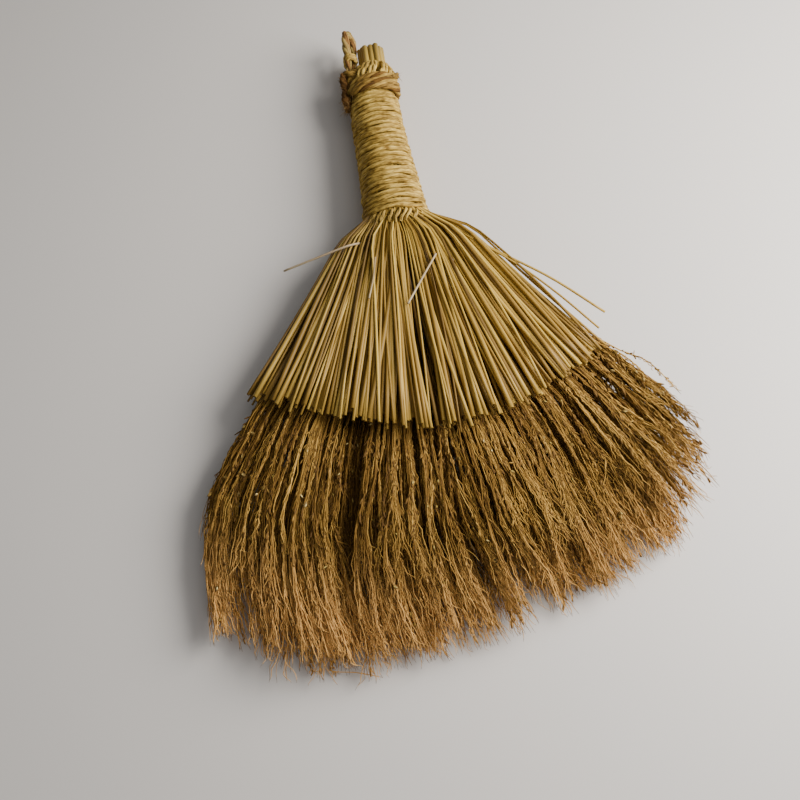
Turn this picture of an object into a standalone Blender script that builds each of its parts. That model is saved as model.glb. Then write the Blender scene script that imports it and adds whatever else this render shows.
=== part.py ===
"""Hand broom of broomcorn: stalks bound into a wound handle, a skirt of cut straws and a brush of panicles.

Frame: +Y runs along the handle to its top end, +X to the right, +Z up, in metres.
The model is built with the neck line at y = 0 and the floor at z = 0, and the root
empty then moves it so that the middle of its underside is the origin.
"""

import math
import random

import bmesh
import bpy
from mathutils import Vector

MM = 0.001

# Gaps and cuts
clearance = 0.3 * MM
flat_depth = 0.5 * MM
merge_share = 0.001

# Broomcorn stalks, packed in rows from the underside up
stalk_rows = (3, 4, 5, 4, 3)
stalk_diameter = 3.2 * MM
stalk_top_y = 143.0 * MM
stalk_end_stagger = 1.2 * MM
stalk_fan_share = 0.6
stalk_side_turn = math.radians(67.5)

# Panicle of each stalk
head_columns = 3
head_width = 12.0 * MM
head_height = 2.6 * MM
strand_width = 4.2 * MM
strand_height = 1.8 * MM
strand_row_step = 1.0 * MM
strand_wave_share = 0.04
brush_bend_radius = 190.0 * MM
brush_radius = 250.0 * MM
brush_skew = 8.0 * MM
brush_corner_drop = 12.0 * MM
brush_stagger = 6.0 * MM
brush_left_angle = math.radians(-33.0)
brush_right_angle = math.radians(41.0)
brush_tip_floor = 1.6 * MM
brush_tip_height = 25.0 * MM
brush_middle_height = 11.5 * MM
brush_fill_share = 0.96
row_even_share = 0.5

# Skirt of cut straws round the stalks
front_sheaves = 8
back_sheaves = 4
sheaf_columns = 4
sheaf_rows = 2
straw_width = 2.6 * MM
straw_row_step = 3.6 * MM
skirt_radius = 142.0 * MM
skirt_stagger = 2.5 * MM
skirt_left_angle = math.radians(-45.0)
skirt_right_angle = math.radians(50.0)
skirt_thickness = 42.0 * MM
skirt_middle_height = 20.5 * MM
outline_power = 2.5
fan_start_y = -10.0 * MM
sheaf_flare = 1.0 * MM
cell_inset = 0.1 * MM

# The handle's core: stems and straws that end in the heads and the sheaves
core_end_y = 5.0 * MM
handle_straws_top_y = 112.0 * MM
handle_straw_sides = 24

# Handle winding
winding_loops = 24
winding_points = 11
winding_cord = 3.4 * MM
winding_top_radius = 17.4 * MM
winding_neck_radius = 20.7 * MM
winding_flare_length = 45.0 * MM
flare_upper_share = 0.5
flare_lower_share = 1.5
winding_top_y = 96.0 * MM
least_self_gap = 0.4 * MM

# Collar rope at the winding's top
collar_rope = 4.9 * MM
collar_pitch = 5.4 * MM
collar_turns = 2.25
collar_points = 12
collar_end_angle = math.radians(60.0)
collar_end_length = 12.0 * MM

# Stitches
top_stitch_cord = 1.8 * MM
top_stitches = 18
top_stitch_inner_y = 121.5 * MM
top_stitch_outer_radius = 15.5 * MM
top_stitch_start = math.radians(-140.0)
top_stitch_end = math.radians(126.0)
neck_stitch_cord = 2.2 * MM
neck_stitches = 26
neck_stitch_reach = 6.8 * MM
stitch_slant_share = 0.35

# Ties round the stalks inside the handle
tie_cord = 1.5 * MM
tie_places = {"upper": 70.0 * MM, "lower": 14.0 * MM}
tie_segments = 20
tie_sides = 6

# Hanging loop, its knot and the knot's tail
loop_rope = 5.2 * MM
loop_eye = 8.0 * MM
loop_foot_gap = 1.6 * MM
loop_top_y = 157.0 * MM
loop_centre_x = -15.0 * MM
loop_centre_rise = 2.0 * MM
loop_turn = math.radians(61.0)
loop_foot_points = 3
loop_leg_points = 4
loop_arc_points = 8
knot_height = 12.0 * MM
knot_half_width = 5.0 * MM
knot_half_depth = 7.4 * MM
knot_bulge_share = 1.45
knot_segments = 12
knot_rings = 8
tail_cord = 5.0 * MM
tail_length = 24.0 * MM
tail_lean = 0.7 * MM
tail_points = 7
tail_end_share = 0.6

# The handle's slope over the floor
neck_height = 22.0 * MM

# Values that follow
half = 0.5
stalk_pitch = stalk_diameter + clearance
stalk_row_pitch = stalk_pitch * math.sqrt(3.0) * half
stalk_pack_radius = (len(stalk_rows) - 1) * half * stalk_pitch + stalk_diameter * half
tie_radius = stalk_pack_radius + 2 * clearance + tie_cord * half
sheaf_inner_radius = tie_radius + tie_cord * half + clearance
collar_start_y = winding_top_y + clearance + collar_rope * half
collar_end_y = collar_start_y + collar_turns * collar_pitch
skirt_core_floor = straw_width + straw_row_step + 2 * clearance + strand_height
skirt_core_top = skirt_thickness - straw_width - straw_row_step - clearance - strand_height
knot_floor_y = handle_straws_top_y + clearance
loop_pivot_y = knot_floor_y + knot_height + clearance + loop_rope * half


def mix(first, second, share):
    return first + (second - first) * share


def winding_radius(y):
    """Radius of the winding's centreline: even along the grip, then flared to the neck in two slopes."""
    rise = max(0.0, 1.0 - max(y, 0.0) / winding_flare_length)
    flare = max(rise * flare_upper_share, 1.0 - (1.0 - rise) * flare_lower_share)
    outer = mix(winding_top_radius, winding_neck_radius, flare)
    return outer - winding_cord * half


def sheaf_outer_radius(y):
    """Radius of the straw sheaves, just inside the flat sides of the winding's loops."""
    inside = winding_radius(y) * math.cos(math.pi / winding_points) - winding_cord * half - clearance
    flare = sheaf_flare * min(0.0, y) / fan_start_y
    return inside + flare


collar_radius = (sheaf_outer_radius(handle_straws_top_y) + clearance + collar_rope * half) / math.cos(
    math.pi / collar_points)
collar_height = collar_radius + collar_rope * half - flat_depth
handle_slope = (neck_height - collar_height) / (half * (collar_start_y + collar_end_y))


def axis_height(y):
    """Height of the handle's axis over the floor, which falls towards the collar."""
    return neck_height - handle_slope * max(y, 0.0)


def on_handle(x, y, z):
    """A point given from the handle's axis."""
    return Vector((x, y, axis_height(y) + z))


def round_handle(radius, angle, y):
    """A point at an angle round the handle: 0 is the right, a quarter turn is the top."""
    return on_handle(radius * math.cos(angle), y, radius * math.sin(angle))


def fan_direction(u, radius):
    """Angle from -Y of the fan at a place u from -1, left, to 1, right."""
    bend = min(1.0, max(0.0, (radius - skirt_radius) / (brush_radius - skirt_radius)))
    left = mix(skirt_left_angle, brush_left_angle, bend)
    right = mix(skirt_right_angle, brush_right_angle, bend)
    return mix(left, right, (u + 1.0) * half)


def fan_point(u, radius, z):
    angle = fan_direction(u, radius)
    return Vector((radius * math.sin(angle), -radius * math.cos(angle), z))


def fan_across(u, radius):
    """Unit vector across the fan, to the right."""
    angle = fan_direction(u, radius)
    return Vector((math.cos(angle), math.sin(angle), 0.0))


upward = Vector((0.0, 0.0, 1.0))


def outline(u):
    """Share of the fan's half thickness at a place u: full in the middle, none at the sides."""
    return (1.0 - min(1.0, abs(u)) ** outline_power) ** (1.0 / outline_power)


def core_height(u, v, radius):
    """Height of the brush inside the skirt at v from -1, the underside, to 1, the top."""
    out = max(0.0, (radius - skirt_radius) / (brush_radius - skirt_radius))
    middle = mix(skirt_middle_height, brush_middle_height, out)
    low = mix(skirt_core_floor, brush_tip_floor, out)
    high = mix(skirt_core_top, brush_tip_height, out)
    return middle + outline(u) * (v * (high - middle) if v > 0.0 else v * (middle - low))


def material(name, colour, roughness):
    made = bpy.data.materials.new(name)
    made.use_nodes = True
    shader = made.node_tree.nodes["Principled BSDF"]
    shader.inputs["Base Color"].default_value = (*colour, 1.0)
    shader.inputs["Roughness"].default_value = roughness
    shader.inputs["Metallic"].default_value = 0.0
    return made


def add_mesh(name, mesh, finish, parent):
    """Put a finished bmesh into the broom as one named piece."""
    bmesh.ops.recalc_face_normals(mesh, faces=mesh.faces[:])
    if mesh.calc_volume(signed=True) < 0.0:
        bmesh.ops.reverse_faces(mesh, faces=mesh.faces[:])
    data = bpy.data.meshes.new(name)
    mesh.to_mesh(data)
    mesh.free()
    data.materials.append(finish)
    piece = bpy.data.objects.new(name, data)
    broom.objects.link(piece)
    piece.parent = parent
    return piece


def add_cord(name, points, cord, finish, parent, cyclic=False, radii=None):
    """A cord through its points: a poly spline with a round bevel and filled caps."""
    data = bpy.data.curves.new(name, "CURVE")
    data.dimensions = "3D"
    data.bevel_depth = cord * half
    data.bevel_resolution = 1
    data.use_fill_caps = True
    line = data.splines.new("POLY")
    line.points.add(len(points) - 1)
    line.use_cyclic_u = cyclic
    for index, point in enumerate(points):
        line.points[index].co = (*point, 1.0)
        if radii:
            line.points[index].radius = radii[index]
    data.materials.append(finish)
    piece = bpy.data.objects.new(name, data)
    broom.objects.link(piece)
    piece.parent = parent
    return piece


def as_mesh(piece):
    """Turn a cord into a closed mesh, so that it can be cut."""
    bpy.context.view_layer.update()
    evaluated = piece.evaluated_get(bpy.context.evaluated_depsgraph_get())
    mesh = bmesh.new()
    mesh.from_mesh(bpy.data.meshes.new_from_object(evaluated))
    bmesh.ops.remove_doubles(mesh, verts=mesh.verts[:], dist=clearance * merge_share)
    name = piece.name
    finish = piece.data.materials[0]
    parent = piece.parent
    bpy.data.objects.remove(piece)
    return name, mesh, finish, parent


def cut_flat(mesh, place, outward):
    """Cut a closed mesh at a plane, drop what lies outward of it and close the cut."""
    cut = bmesh.ops.bisect_plane(mesh, geom=mesh.verts[:] + mesh.edges[:] + mesh.faces[:],
                                 plane_co=place, plane_no=outward, clear_outer=True)
    edges = [item for item in cut["geom_cut"] if isinstance(item, bmesh.types.BMEdge)]
    if edges:
        bmesh.ops.holes_fill(mesh, edges=edges, sides=0)


def stand_on_floor(mesh):
    if min(vertex.co.z for vertex in mesh.verts) < 0.0:
        cut_flat(mesh, Vector((0.0, 0.0, 0.0)), Vector((0.0, 0.0, -1.0)))


def unit_slice(columns, rows, stations):
    """A closed block of cells: x and y are shares across it, z counts its stations.

    Returns the mesh and the cells of its far end.
    """
    mesh = bmesh.new()
    bmesh.ops.create_grid(mesh, x_segments=columns, y_segments=rows, size=1.0)
    cells = mesh.faces[:]
    for station in range(1, stations):
        grown = bmesh.ops.extrude_face_region(mesh, geom=cells, use_keep_orig=True)
        for vertex in (item for item in grown["geom"] if isinstance(item, bmesh.types.BMVert)):
            vertex.co.z = station
        if station > 1:
            bmesh.ops.delete(mesh, geom=cells, context="FACES")
        cells = [item for item in grown["geom"] if isinstance(item, bmesh.types.BMFace)]
    return mesh, cells


def draw_strand(mesh, cell, side, rise, middle, across, up, width, height):
    """Inset a cell and draw it out to its end, set round its middle. Returns the end face.

    side and rise are the cell's own axes, across and up what they become at the end.
    """
    bmesh.ops.inset_individual(mesh, faces=[cell], thickness=cell_inset, depth=0.0)
    end = bmesh.ops.extrude_discrete_faces(mesh, faces=[cell])["faces"][0]
    centre = end.calc_center_median()
    offsets = [((vertex.co - centre).dot(side), (vertex.co - centre).dot(rise)) for vertex in end.verts]
    most_side = max(abs(offset[0]) for offset in offsets)
    most_rise = max(abs(offset[1]) for offset in offsets)
    for vertex, offset in zip(end.verts, offsets):
        vertex.co = (middle + across * (offset[0] / most_side * width * half)
                     + up * (offset[1] / most_rise * height * half))
    return end


def stalk_place(row, index):
    """Place of a stalk in the pack, from the handle's axis."""
    count = stalk_rows[row]
    x = (index - (count - 1) * half) * stalk_pitch
    z = (row - (len(stalk_rows) - 1) * half) * stalk_row_pitch
    return x, z


def stem_point(a, b, centre):
    """A point on a stem's eight-sided skin for a slice's shares a and b."""
    angle = math.copysign(math.pi * half - a * stalk_side_turn, b)
    return centre + Vector((math.cos(angle), 0.0, math.sin(angle))) * (stalk_diameter * half)


def make_stem(name, row, index, finish, parent, wobble):
    """The straight part of a stalk, from its cut top down through the handle."""
    x, z = stalk_place(row, index)
    top = on_handle(x, stalk_top_y + stalk_end_stagger * wobble.uniform(-1.0, 1.0), z)
    low = on_handle(x, core_end_y + clearance, z)
    mesh = unit_slice(head_columns, 1, 2)[0]
    for vertex in mesh.verts:
        a, b, station = vertex.co
        vertex.co = stem_point(a, b, low if station > half else top)
    return add_mesh(name, mesh, finish, parent)


def make_head(name, row, index, finish, parent, wobble):
    """The panicle end of a stalk: a short stem inside the neck, a flat head, and strands."""
    count = stalk_rows[row]
    fill = brush_fill_share * mix(count / max(stalk_rows), 1.0, row_even_share)
    u = ((index + half) / count * 2.0 - 1.0) * fill
    v = row / (len(stalk_rows) - 1) * 2.0 - 1.0
    v *= 1.0 - 1.0 / len(stalk_rows)
    x, z = stalk_place(row, index)
    neck = on_handle(x, fan_start_y, z)
    spread = fan_point(u, skirt_radius, core_height(u, v, skirt_radius))
    head = mix(neck, spread, stalk_fan_share)
    top = on_handle(x, core_end_y, z)
    mesh, cells = unit_slice(head_columns, 1, 3)
    cells = bmesh.ops.poke(mesh, faces=cells)["faces"]
    places = [cell.calc_center_median() for cell in cells]
    across = fan_across(u, skirt_radius)
    for vertex in mesh.verts:
        a, b, station = vertex.co
        if station > 1.5:
            vertex.co = head + across * (a * head_width * half) + upward * (b * head_height * half)
        else:
            vertex.co = stem_point(a, b, neck if station > half else top)
    mesh.normal_update()
    quad_width = 2.0 / head_columns
    for cell, centre in zip(cells, places):
        quad = round(centre.x / quad_width) * quad_width
        level = round(centre.y)
        share = quad if level else quad + math.copysign(quad_width * half * half, centre.x - quad)
        place = u + share / count * fill
        bend_place = place + wobble.uniform(-1.0, 1.0) * strand_wave_share / count
        bend = fan_point(bend_place, brush_bend_radius,
                         core_height(place, v, brush_bend_radius) + level * strand_row_step)
        end = draw_strand(mesh, cell, across, upward, bend, fan_across(place, brush_bend_radius), upward,
                          strand_width, strand_height)
        tip_radius = brush_radius - brush_skew * place - brush_corner_drop * place * place
        tip_radius += brush_stagger * wobble.uniform(-1.0, 1.0)
        tip_place = place + wobble.uniform(-1.0, 1.0) * strand_wave_share / count
        tip = bmesh.ops.poke(mesh, faces=[end])["verts"][0]
        tip.co = fan_point(tip_place, tip_radius,
                           core_height(place, v, tip_radius) + level * strand_row_step * half)
    stand_on_floor(mesh)
    return add_mesh(name, mesh, finish, parent)


def make_handle_straws(finish, parent):
    """The straws' upper ends, packed into one sleeve round the stems under the winding."""
    low_y = core_end_y + clearance
    levels = (low_y, winding_flare_length * half, winding_flare_length, handle_straws_top_y)
    profile = [(sheaf_outer_radius(y), y) for y in levels]
    profile += [(sheaf_inner_radius, handle_straws_top_y), (sheaf_inner_radius, low_y)]
    mesh = bmesh.new()
    rings = []
    for side in range(handle_straw_sides):
        angle = 2.0 * math.pi * side / handle_straw_sides
        rings.append([mesh.verts.new(round_handle(radius, angle, y)) for radius, y in profile])
    for side, ring in enumerate(rings):
        other = rings[side - 1]
        for index in range(len(profile)):
            mesh.faces.new((ring[index], ring[index - 1], other[index - 1], other[index]))
    return add_mesh("handle_straws", mesh, finish, parent)


def make_sheaf(name, index, count, front, finish, parent, wobble):
    """A slice of the skirt: straws packed in the neck, then fanned out to their cut ends."""
    side = 1.0 if front else -1.0
    u_centre = (index + half) / count * 2.0 - 1.0
    columns = count * sheaf_columns
    stations = (core_end_y, 0.0, fan_start_y)
    mesh, cells = unit_slice(sheaf_columns, sheaf_rows, len(stations))
    places = [cell.calc_center_median() for cell in cells]
    gap_angle = clearance * half / sheaf_inner_radius
    for vertex in mesh.verts:
        y = stations[round(vertex.co.z)]
        radius = mix(sheaf_inner_radius, sheaf_outer_radius(y), (vertex.co.y + 1.0) * half)
        u = max(-1.0, min(1.0, u_centre + vertex.co.x / count))
        vertex.co = round_handle(radius, side * (math.acos(u) + vertex.co.x * gap_angle), y)
    mesh.normal_update()
    if front:
        reach = skirt_thickness - straw_width * half - skirt_middle_height
    else:
        reach = skirt_middle_height + flat_depth - straw_width * half
    for cell, centre in zip(cells, places):
        u = u_centre + centre.x / count
        outer = centre.y > 0.0
        cosine = u
        sine = math.sqrt(1.0 - u * u)
        rows_in = 0.0 if outer else straw_row_step
        length = skirt_radius + skirt_stagger * wobble.uniform(-1.0, 1.0)
        place = u + math.copysign(half / columns, u) * (1.0 if outer else -1.0)
        across = fan_across(place, length)
        height = skirt_middle_height + side * (reach * outline(u) - rows_in * sine)
        end = fan_point(place, length, height) - across * (rows_in * cosine)
        draw_strand(mesh, cell,
                    Vector((sine, 0.0, -side * cosine)), Vector((cosine, 0.0, side * sine)), end,
                    across * sine - upward * (side * cosine), across * cosine + upward * (side * sine),
                    straw_width, straw_width)
    stand_on_floor(mesh)
    return add_mesh(name, mesh, finish, parent)


def report_self_gap(name, points, cord, turn_points):
    """Print the least gap of a wound cord to itself, and stop if it is too small."""
    gap = min((points[i] - points[j]).length
              for i in range(len(points))
              for j in range(i + turn_points // 2, len(points))) - cord
    print(f"{name}: least gap to itself {gap / MM:.2f} mm")
    if gap <= least_self_gap:
        raise ValueError(f"{name} touches itself")


def make_winding(finish, parent):
    """The cord wound down the handle in one unbroken run of loops."""
    first = winding_top_y - winding_cord * half
    last = winding_cord * half
    steps = winding_loops * winding_points
    points = []
    for step in range(steps + 1):
        y = mix(first, last, step / steps)
        angle = step / winding_points * 2.0 * math.pi
        points.append(round_handle(winding_radius(y), angle, y))
    report_self_gap("handle_winding", points, winding_cord, winding_points)
    return add_cord("handle_winding", points, winding_cord, finish, parent)


def make_collar(finish, parent):
    """The thicker rope over the winding's top, whose upper end stands out at the right."""
    steps = round(collar_turns * collar_points)
    points = []
    for step in range(steps + 1):
        angle = collar_end_angle + (steps - step) / collar_points * 2.0 * math.pi
        y = mix(collar_start_y, collar_end_y, step / steps)
        points.append(round_handle(collar_radius, angle, y))
    ahead = Vector((math.sin(collar_end_angle), 0.0, -math.cos(collar_end_angle)))
    points.append(points[-1] + ahead * collar_end_length)
    report_self_gap("collar_rope", points, collar_rope, collar_points)
    name, mesh, finish, parent = as_mesh(add_cord("collar_rope", points, collar_rope, finish, parent))
    stand_on_floor(mesh)
    return add_mesh(name, mesh, finish, parent)


def stitch_run(count, start, end, low, high, slant):
    """Points of stitches that go to and fro between two rings, each (radius, y)."""
    points = []
    for index in range(count):
        angle = mix(start, end, index / (count - 1))
        rise = (low, high) if index % 2 else (high, low)
        for radius, y in rise:
            lean = slant if (radius, y) == high else 0.0
            points.append(round_handle(radius, angle + lean, y))
    return points


def make_top_stitching(finish, parent):
    """Stitches over the shoulder, from the collar's top to the stalks."""
    step = (top_stitch_end - top_stitch_start) / (top_stitches - 1)
    outer_y = collar_end_y + (collar_rope + top_stitch_cord) * half + clearance
    inner_radius = stalk_pack_radius + 2 * clearance + top_stitch_cord * half
    points = stitch_run(top_stitches, top_stitch_start, top_stitch_end,
                        (top_stitch_outer_radius, outer_y), (inner_radius, top_stitch_inner_y),
                        step * stitch_slant_share)
    return add_cord("top_stitching", points, top_stitch_cord, finish, parent)


def make_neck_stitching(finish, parent):
    """Stitches round the neck below the winding, closed on themselves."""
    step = 2.0 * math.pi / neck_stitches
    high_y = -neck_stitch_cord * half - clearance
    low_y = high_y - neck_stitch_reach
    seat = clearance + neck_stitch_cord * half
    high = ((sheaf_outer_radius(high_y) + seat) / math.cos(step * half), high_y)
    low = ((sheaf_outer_radius(low_y) + seat) / math.cos(step * half), low_y)
    points = stitch_run(neck_stitches, 0.0, 2.0 * math.pi - step, low, high, step * stitch_slant_share)
    return add_cord("neck_stitching", points, neck_stitch_cord, finish, parent, cyclic=True)


def make_tie(name, y, finish, parent):
    """A ring of cord tied round the stalks, hidden in the handle."""
    place = on_handle(0.0, y, 0.0)
    bpy.ops.mesh.primitive_torus_add(major_segments=tie_segments, minor_segments=tie_sides,
                                     major_radius=tie_radius, minor_radius=tie_cord * half,
                                     location=place, rotation=(math.pi * half, 0.0, 0.0))
    tie = bpy.context.object
    tie.name = name
    tie.data.name = name
    tie.data.materials.append(finish)
    for group in tie.users_collection:
        group.objects.unlink(tie)
    broom.objects.link(tie)
    tie.parent = parent
    return tie


def make_loop(finish, parent):
    """The hanging loop: a drop of rope that bends at its two round feet, which sit on the knot."""
    pivot = on_handle(loop_centre_x, loop_pivot_y, loop_centre_rise)
    joint = bpy.data.objects.new("loop_pivot", None)
    broom.objects.link(joint)
    joint.parent = parent
    joint.location = pivot
    joint.rotation_euler = (0.0, loop_turn, 0.0)
    wide = (loop_eye + loop_rope) * half
    narrow = (loop_foot_gap + loop_rope) * half
    arc_y = loop_top_y - loop_rope * half - wide - loop_pivot_y
    leg = []
    radii = []
    for step in range(loop_foot_points, 0, -1):
        turn = math.pi * half * step / (loop_foot_points + half)
        leg.append(Vector((narrow, -loop_rope * half * math.sin(turn), 0.0)))
        radii.append(math.cos(turn))
    leg.append(Vector((narrow, 0.0, 0.0)))
    for step in range(loop_leg_points):
        share = step / loop_leg_points
        ease = share * share * (3.0 - 2.0 * share)
        leg.append(Vector((mix(narrow, wide, ease), mix(loop_rope, arc_y, share), 0.0)))
    points = leg[:]
    for step in range(loop_arc_points + 1):
        angle = math.pi * step / loop_arc_points
        points.append(Vector((wide * math.cos(angle), arc_y + wide * math.sin(angle), 0.0)))
    points += [Vector((-point.x, point.y, 0.0)) for point in reversed(leg)]
    radii += [1.0] * (len(points) - 2 * len(radii)) + radii[::-1]
    return add_cord("hanging_loop", points, loop_rope, finish, joint, radii=radii)


def make_knot(finish, parent):
    """The knot that holds the loop's feet, flat where it sits and where the feet stand."""
    mesh = bmesh.new()
    bmesh.ops.create_uvsphere(mesh, u_segments=knot_segments, v_segments=knot_rings, radius=1.0)
    middle_y = knot_floor_y + knot_height * half
    for vertex in mesh.verts:
        vertex.co = on_handle(loop_centre_x + vertex.co.x * knot_half_width,
                              middle_y + vertex.co.y * knot_height * half * knot_bulge_share,
                              loop_centre_rise + vertex.co.z * knot_half_depth)
    cut_flat(mesh, Vector((0.0, knot_floor_y, 0.0)), Vector((0.0, -1.0, 0.0)))
    cut_flat(mesh, Vector((0.0, knot_floor_y + knot_height, 0.0)), Vector((0.0, 1.0, 0.0)))
    cut_flat(mesh, Vector((loop_centre_x - knot_half_width + flat_depth, 0.0, 0.0)), Vector((-1.0, 0.0, 0.0)))
    return add_mesh("loop_knot", mesh, finish, parent)


def make_tail(finish, parent):
    """The loop's free end, which leaves the knot and hangs down beside the collar."""
    start_x = loop_centre_x - knot_half_width + flat_depth - clearance
    start_y = knot_floor_y + knot_height * half
    down_x = -(collar_radius + (collar_rope + tail_cord) * half + clearance)
    points = [on_handle(start_x, start_y, loop_centre_rise),
              on_handle(start_x - tail_cord, start_y, loop_centre_rise)]
    radii = [1.0, 1.0]
    low_y = start_y - tail_cord
    for step in range(tail_points):
        share = step / (tail_points - 1)
        x = down_x - tail_lean * (1.0 + math.cos(share * 2.0 * math.pi)) * half
        points.append(on_handle(x, mix(low_y, low_y - tail_length, share), loop_centre_rise))
        radii.append(mix(1.0, tail_end_share, share))
    return add_cord("loop_tail", points, tail_cord, finish, parent, radii=radii)


def set_origin(parent):
    """Move the broom so that the middle of its underside is the origin."""
    bpy.context.view_layer.update()
    depsgraph = bpy.context.evaluated_depsgraph_get()
    points = []
    for piece in (item for item in broom.objects if item.type != "EMPTY"):
        evaluated = piece.evaluated_get(depsgraph)
        points += [piece.matrix_world @ vertex.co for vertex in evaluated.to_mesh().vertices]
        evaluated.to_mesh_clear()
    low = Vector([min(point[axis] for point in points) for axis in range(3)])
    high = Vector([max(point[axis] for point in points) for axis in range(3)])
    centre = (low + high) * half
    parent.location = (-centre.x, -centre.y, -low.z)
    for name, place in (("root moved by", parent.location), ("size", high - low)):
        print(name, [round(value / MM, 2) for value in place], "mm")


for old in list(bpy.data.objects):
    bpy.data.objects.remove(old)

broom = bpy.data.collections.new("straw_broom")
bpy.context.scene.collection.children.link(broom)
root = bpy.data.objects.new("broom_root", None)
broom.objects.link(root)

broomcorn = material("broomcorn", (0.46, 0.27, 0.10), 0.8)
stem_straw = material("stem_straw", (0.62, 0.50, 0.24), 0.6)
cut_straw = material("cut_straw", (0.55, 0.42, 0.16), 0.6)
pale_cord = material("pale_cord", (0.66, 0.52, 0.27), 0.8)
brown_rope = material("brown_rope", (0.35, 0.20, 0.09), 0.9)
loop_fibre = material("loop_fibre", (0.42, 0.30, 0.15), 0.85)

seeded = random.Random(7)
number = 0
for row, count in enumerate(stalk_rows):
    for index in range(count):
        number += 1
        make_stem(f"stalk_stem_{number:02d}", row, index, stem_straw, root, seeded)
        make_head(f"stalk_head_{number:02d}", row, index, broomcorn, root, seeded)
make_handle_straws(cut_straw, root)
for index in range(front_sheaves):
    make_sheaf(f"front_straw_sheaf_{index + 1:02d}", index, front_sheaves, True, cut_straw, root, seeded)
for index in range(back_sheaves):
    make_sheaf(f"back_straw_sheaf_{index + 1:02d}", index, back_sheaves, False, cut_straw, root, seeded)
make_winding(pale_cord, root)
make_collar(brown_rope, root)
make_top_stitching(pale_cord, root)
make_neck_stitching(pale_cord, root)
for place, y in tie_places.items():
    make_tie(f"stalk_tie_{place}", y, pale_cord, root)
make_loop(loop_fibre, root)
make_knot(brown_rope, root)
make_tail(brown_rope, root)
set_origin(root)
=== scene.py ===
"""Looks of a hand broom: a cord-wound handle, a skirt of cut straws and a brush of broomcorn panicles.

Lengths are in metres. +Y runs along the handle to its top end, +X to the right, +Z up from the floor.
Places on the broom are given from its neck, the line where the winding ends.
"""

import math

import bpy
import numpy as np
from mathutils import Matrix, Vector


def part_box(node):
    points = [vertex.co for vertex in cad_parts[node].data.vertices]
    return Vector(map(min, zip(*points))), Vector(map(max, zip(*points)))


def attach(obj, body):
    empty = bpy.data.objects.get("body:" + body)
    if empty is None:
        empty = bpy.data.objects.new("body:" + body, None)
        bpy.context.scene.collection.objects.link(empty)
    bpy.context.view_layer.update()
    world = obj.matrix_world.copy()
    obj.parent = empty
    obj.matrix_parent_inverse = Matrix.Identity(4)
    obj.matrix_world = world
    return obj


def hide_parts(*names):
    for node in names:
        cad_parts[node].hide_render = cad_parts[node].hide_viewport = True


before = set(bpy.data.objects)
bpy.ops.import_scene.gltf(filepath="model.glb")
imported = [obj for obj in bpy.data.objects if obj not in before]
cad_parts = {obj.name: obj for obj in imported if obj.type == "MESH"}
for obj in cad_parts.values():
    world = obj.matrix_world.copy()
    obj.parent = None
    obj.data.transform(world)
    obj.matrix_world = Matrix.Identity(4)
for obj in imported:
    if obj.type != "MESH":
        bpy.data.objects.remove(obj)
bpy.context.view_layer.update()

MM = 0.001
rng = np.random.default_rng(23)

# The handle, from the neck
handle_straws_top_y = 112.0 * MM
neck_height = 22.0 * MM
collar_height = 18.3 * MM
collar_y = 105.0 * MM
neck_radius = 17.6 * MM
bow_y = np.array((0.0, 20.0, 50.0, 80.0, 105.0, 128.0)) * MM
bow_x = np.array((0.0, -0.5, -1.6, -2.6, -2.6, -0.6)) * MM
row_tilt = 0.22
stalk_top_y = 143.0 * MM
stalk_rows = (3, 4, 5, 4, 3)
handle_straws = 38

# The skirt of cut straws
skirt_radius = 142.0 * MM
skirt_angles = np.radians((-44.0, 48.5))
skirt_middle_height = 20.5 * MM
skirt_top = 41.3 * MM
skirt_layers_front = ((74, 0.0), (80, 2.4), (72, 5.2), (56, 8.4))
skirt_layers_back = ((70, 0.0), (56, 2.6))
skirt_edge_rise = 0.9
skirt_edge_angles = np.radians((-44.0, -30.0, -21.0, -9.0, 2.0, 16.0, 36.0, 47.0))
skirt_edge_radii = np.array((139.0, 136.0, 134.0, 136.5, 139.5, 140.5, 140.5, 144.0)) * MM
spread_left_y = 45.0 * MM
spread_right_y = 50.0 * MM
drawn_in_share = 0.19
neck_swell = 1.5 * MM
crossing = 3.4 * MM
corner_count = 18
clump_share = 0.016
clump_waves = 23.0
straw_start_y = 9.0 * MM
straw_sink = 1.5
sink_share = 0.45
straw_widths = (1.5, 2.8)
slim_widths = (1.1, 1.7)
slim_share = 0.3
thin_start_share = 0.6
end_scatter = 2.4
turn_scatter = 3.6
length_scatter = 2.1 * MM
height_scatter = (-2.6, 0.4)
straw_sway = 1.5 * MM
astray_share = 0.2
astray_more = 1.9
front_rim = 1.6 * MM
back_rim = 1.0 * MM
straw_floor = 1.7 * MM
corner_places = (0.86, 1.0)
corner_heights = (9.0, 27.0)
corner_widths = (1.6, 2.8)
corner_shorter = 5.0
right_shorter = 3.0
corner_bend = 3.0
straw_stations = 14
front_sheaves = 8
back_sheaves = 4

# The brush of panicles
brush_radius = 250.0 * MM
brush_middle_height = 11.5 * MM
brush_top = 25.0 * MM
brush_floor = 0.9 * MM
tip_angles = np.radians((-36.4, -34.0, -29.5, -18.5, -7.0, 5.0, 14.0, 25.0, 32.5, 40.0, 45.4))
tip_radii = np.array((196.0, 229.0, 255.0, 261.0, 255.0, 247.0, 238.0, 243.0, 239.0, 219.0, 191.0)) * MM
side_radii = np.array((142.0, 193.0, 228.0, 255.0)) * MM
left_side_angles = np.radians((-41.5, -38.5, -33.5, -28.5))
right_side_angles = np.radians((49.5, 46.5, 44.0, 41.0))
brush_start = 142.0 * MM
branches_per_head = 35
fibres_per_branch = 12
frizz_per_branch = 8
twigs_per_branch = 24
husks_per_head = 18
brush_fill_share = 0.98
row_even_share = 0.85
row_depth_share = 0.8
branch_starts = (80.0, 100.0)
branch_depth_share = 0.24
branch_splay = (1.15, 1.4)
branch_widths = (0.7, 1.25)
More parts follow.
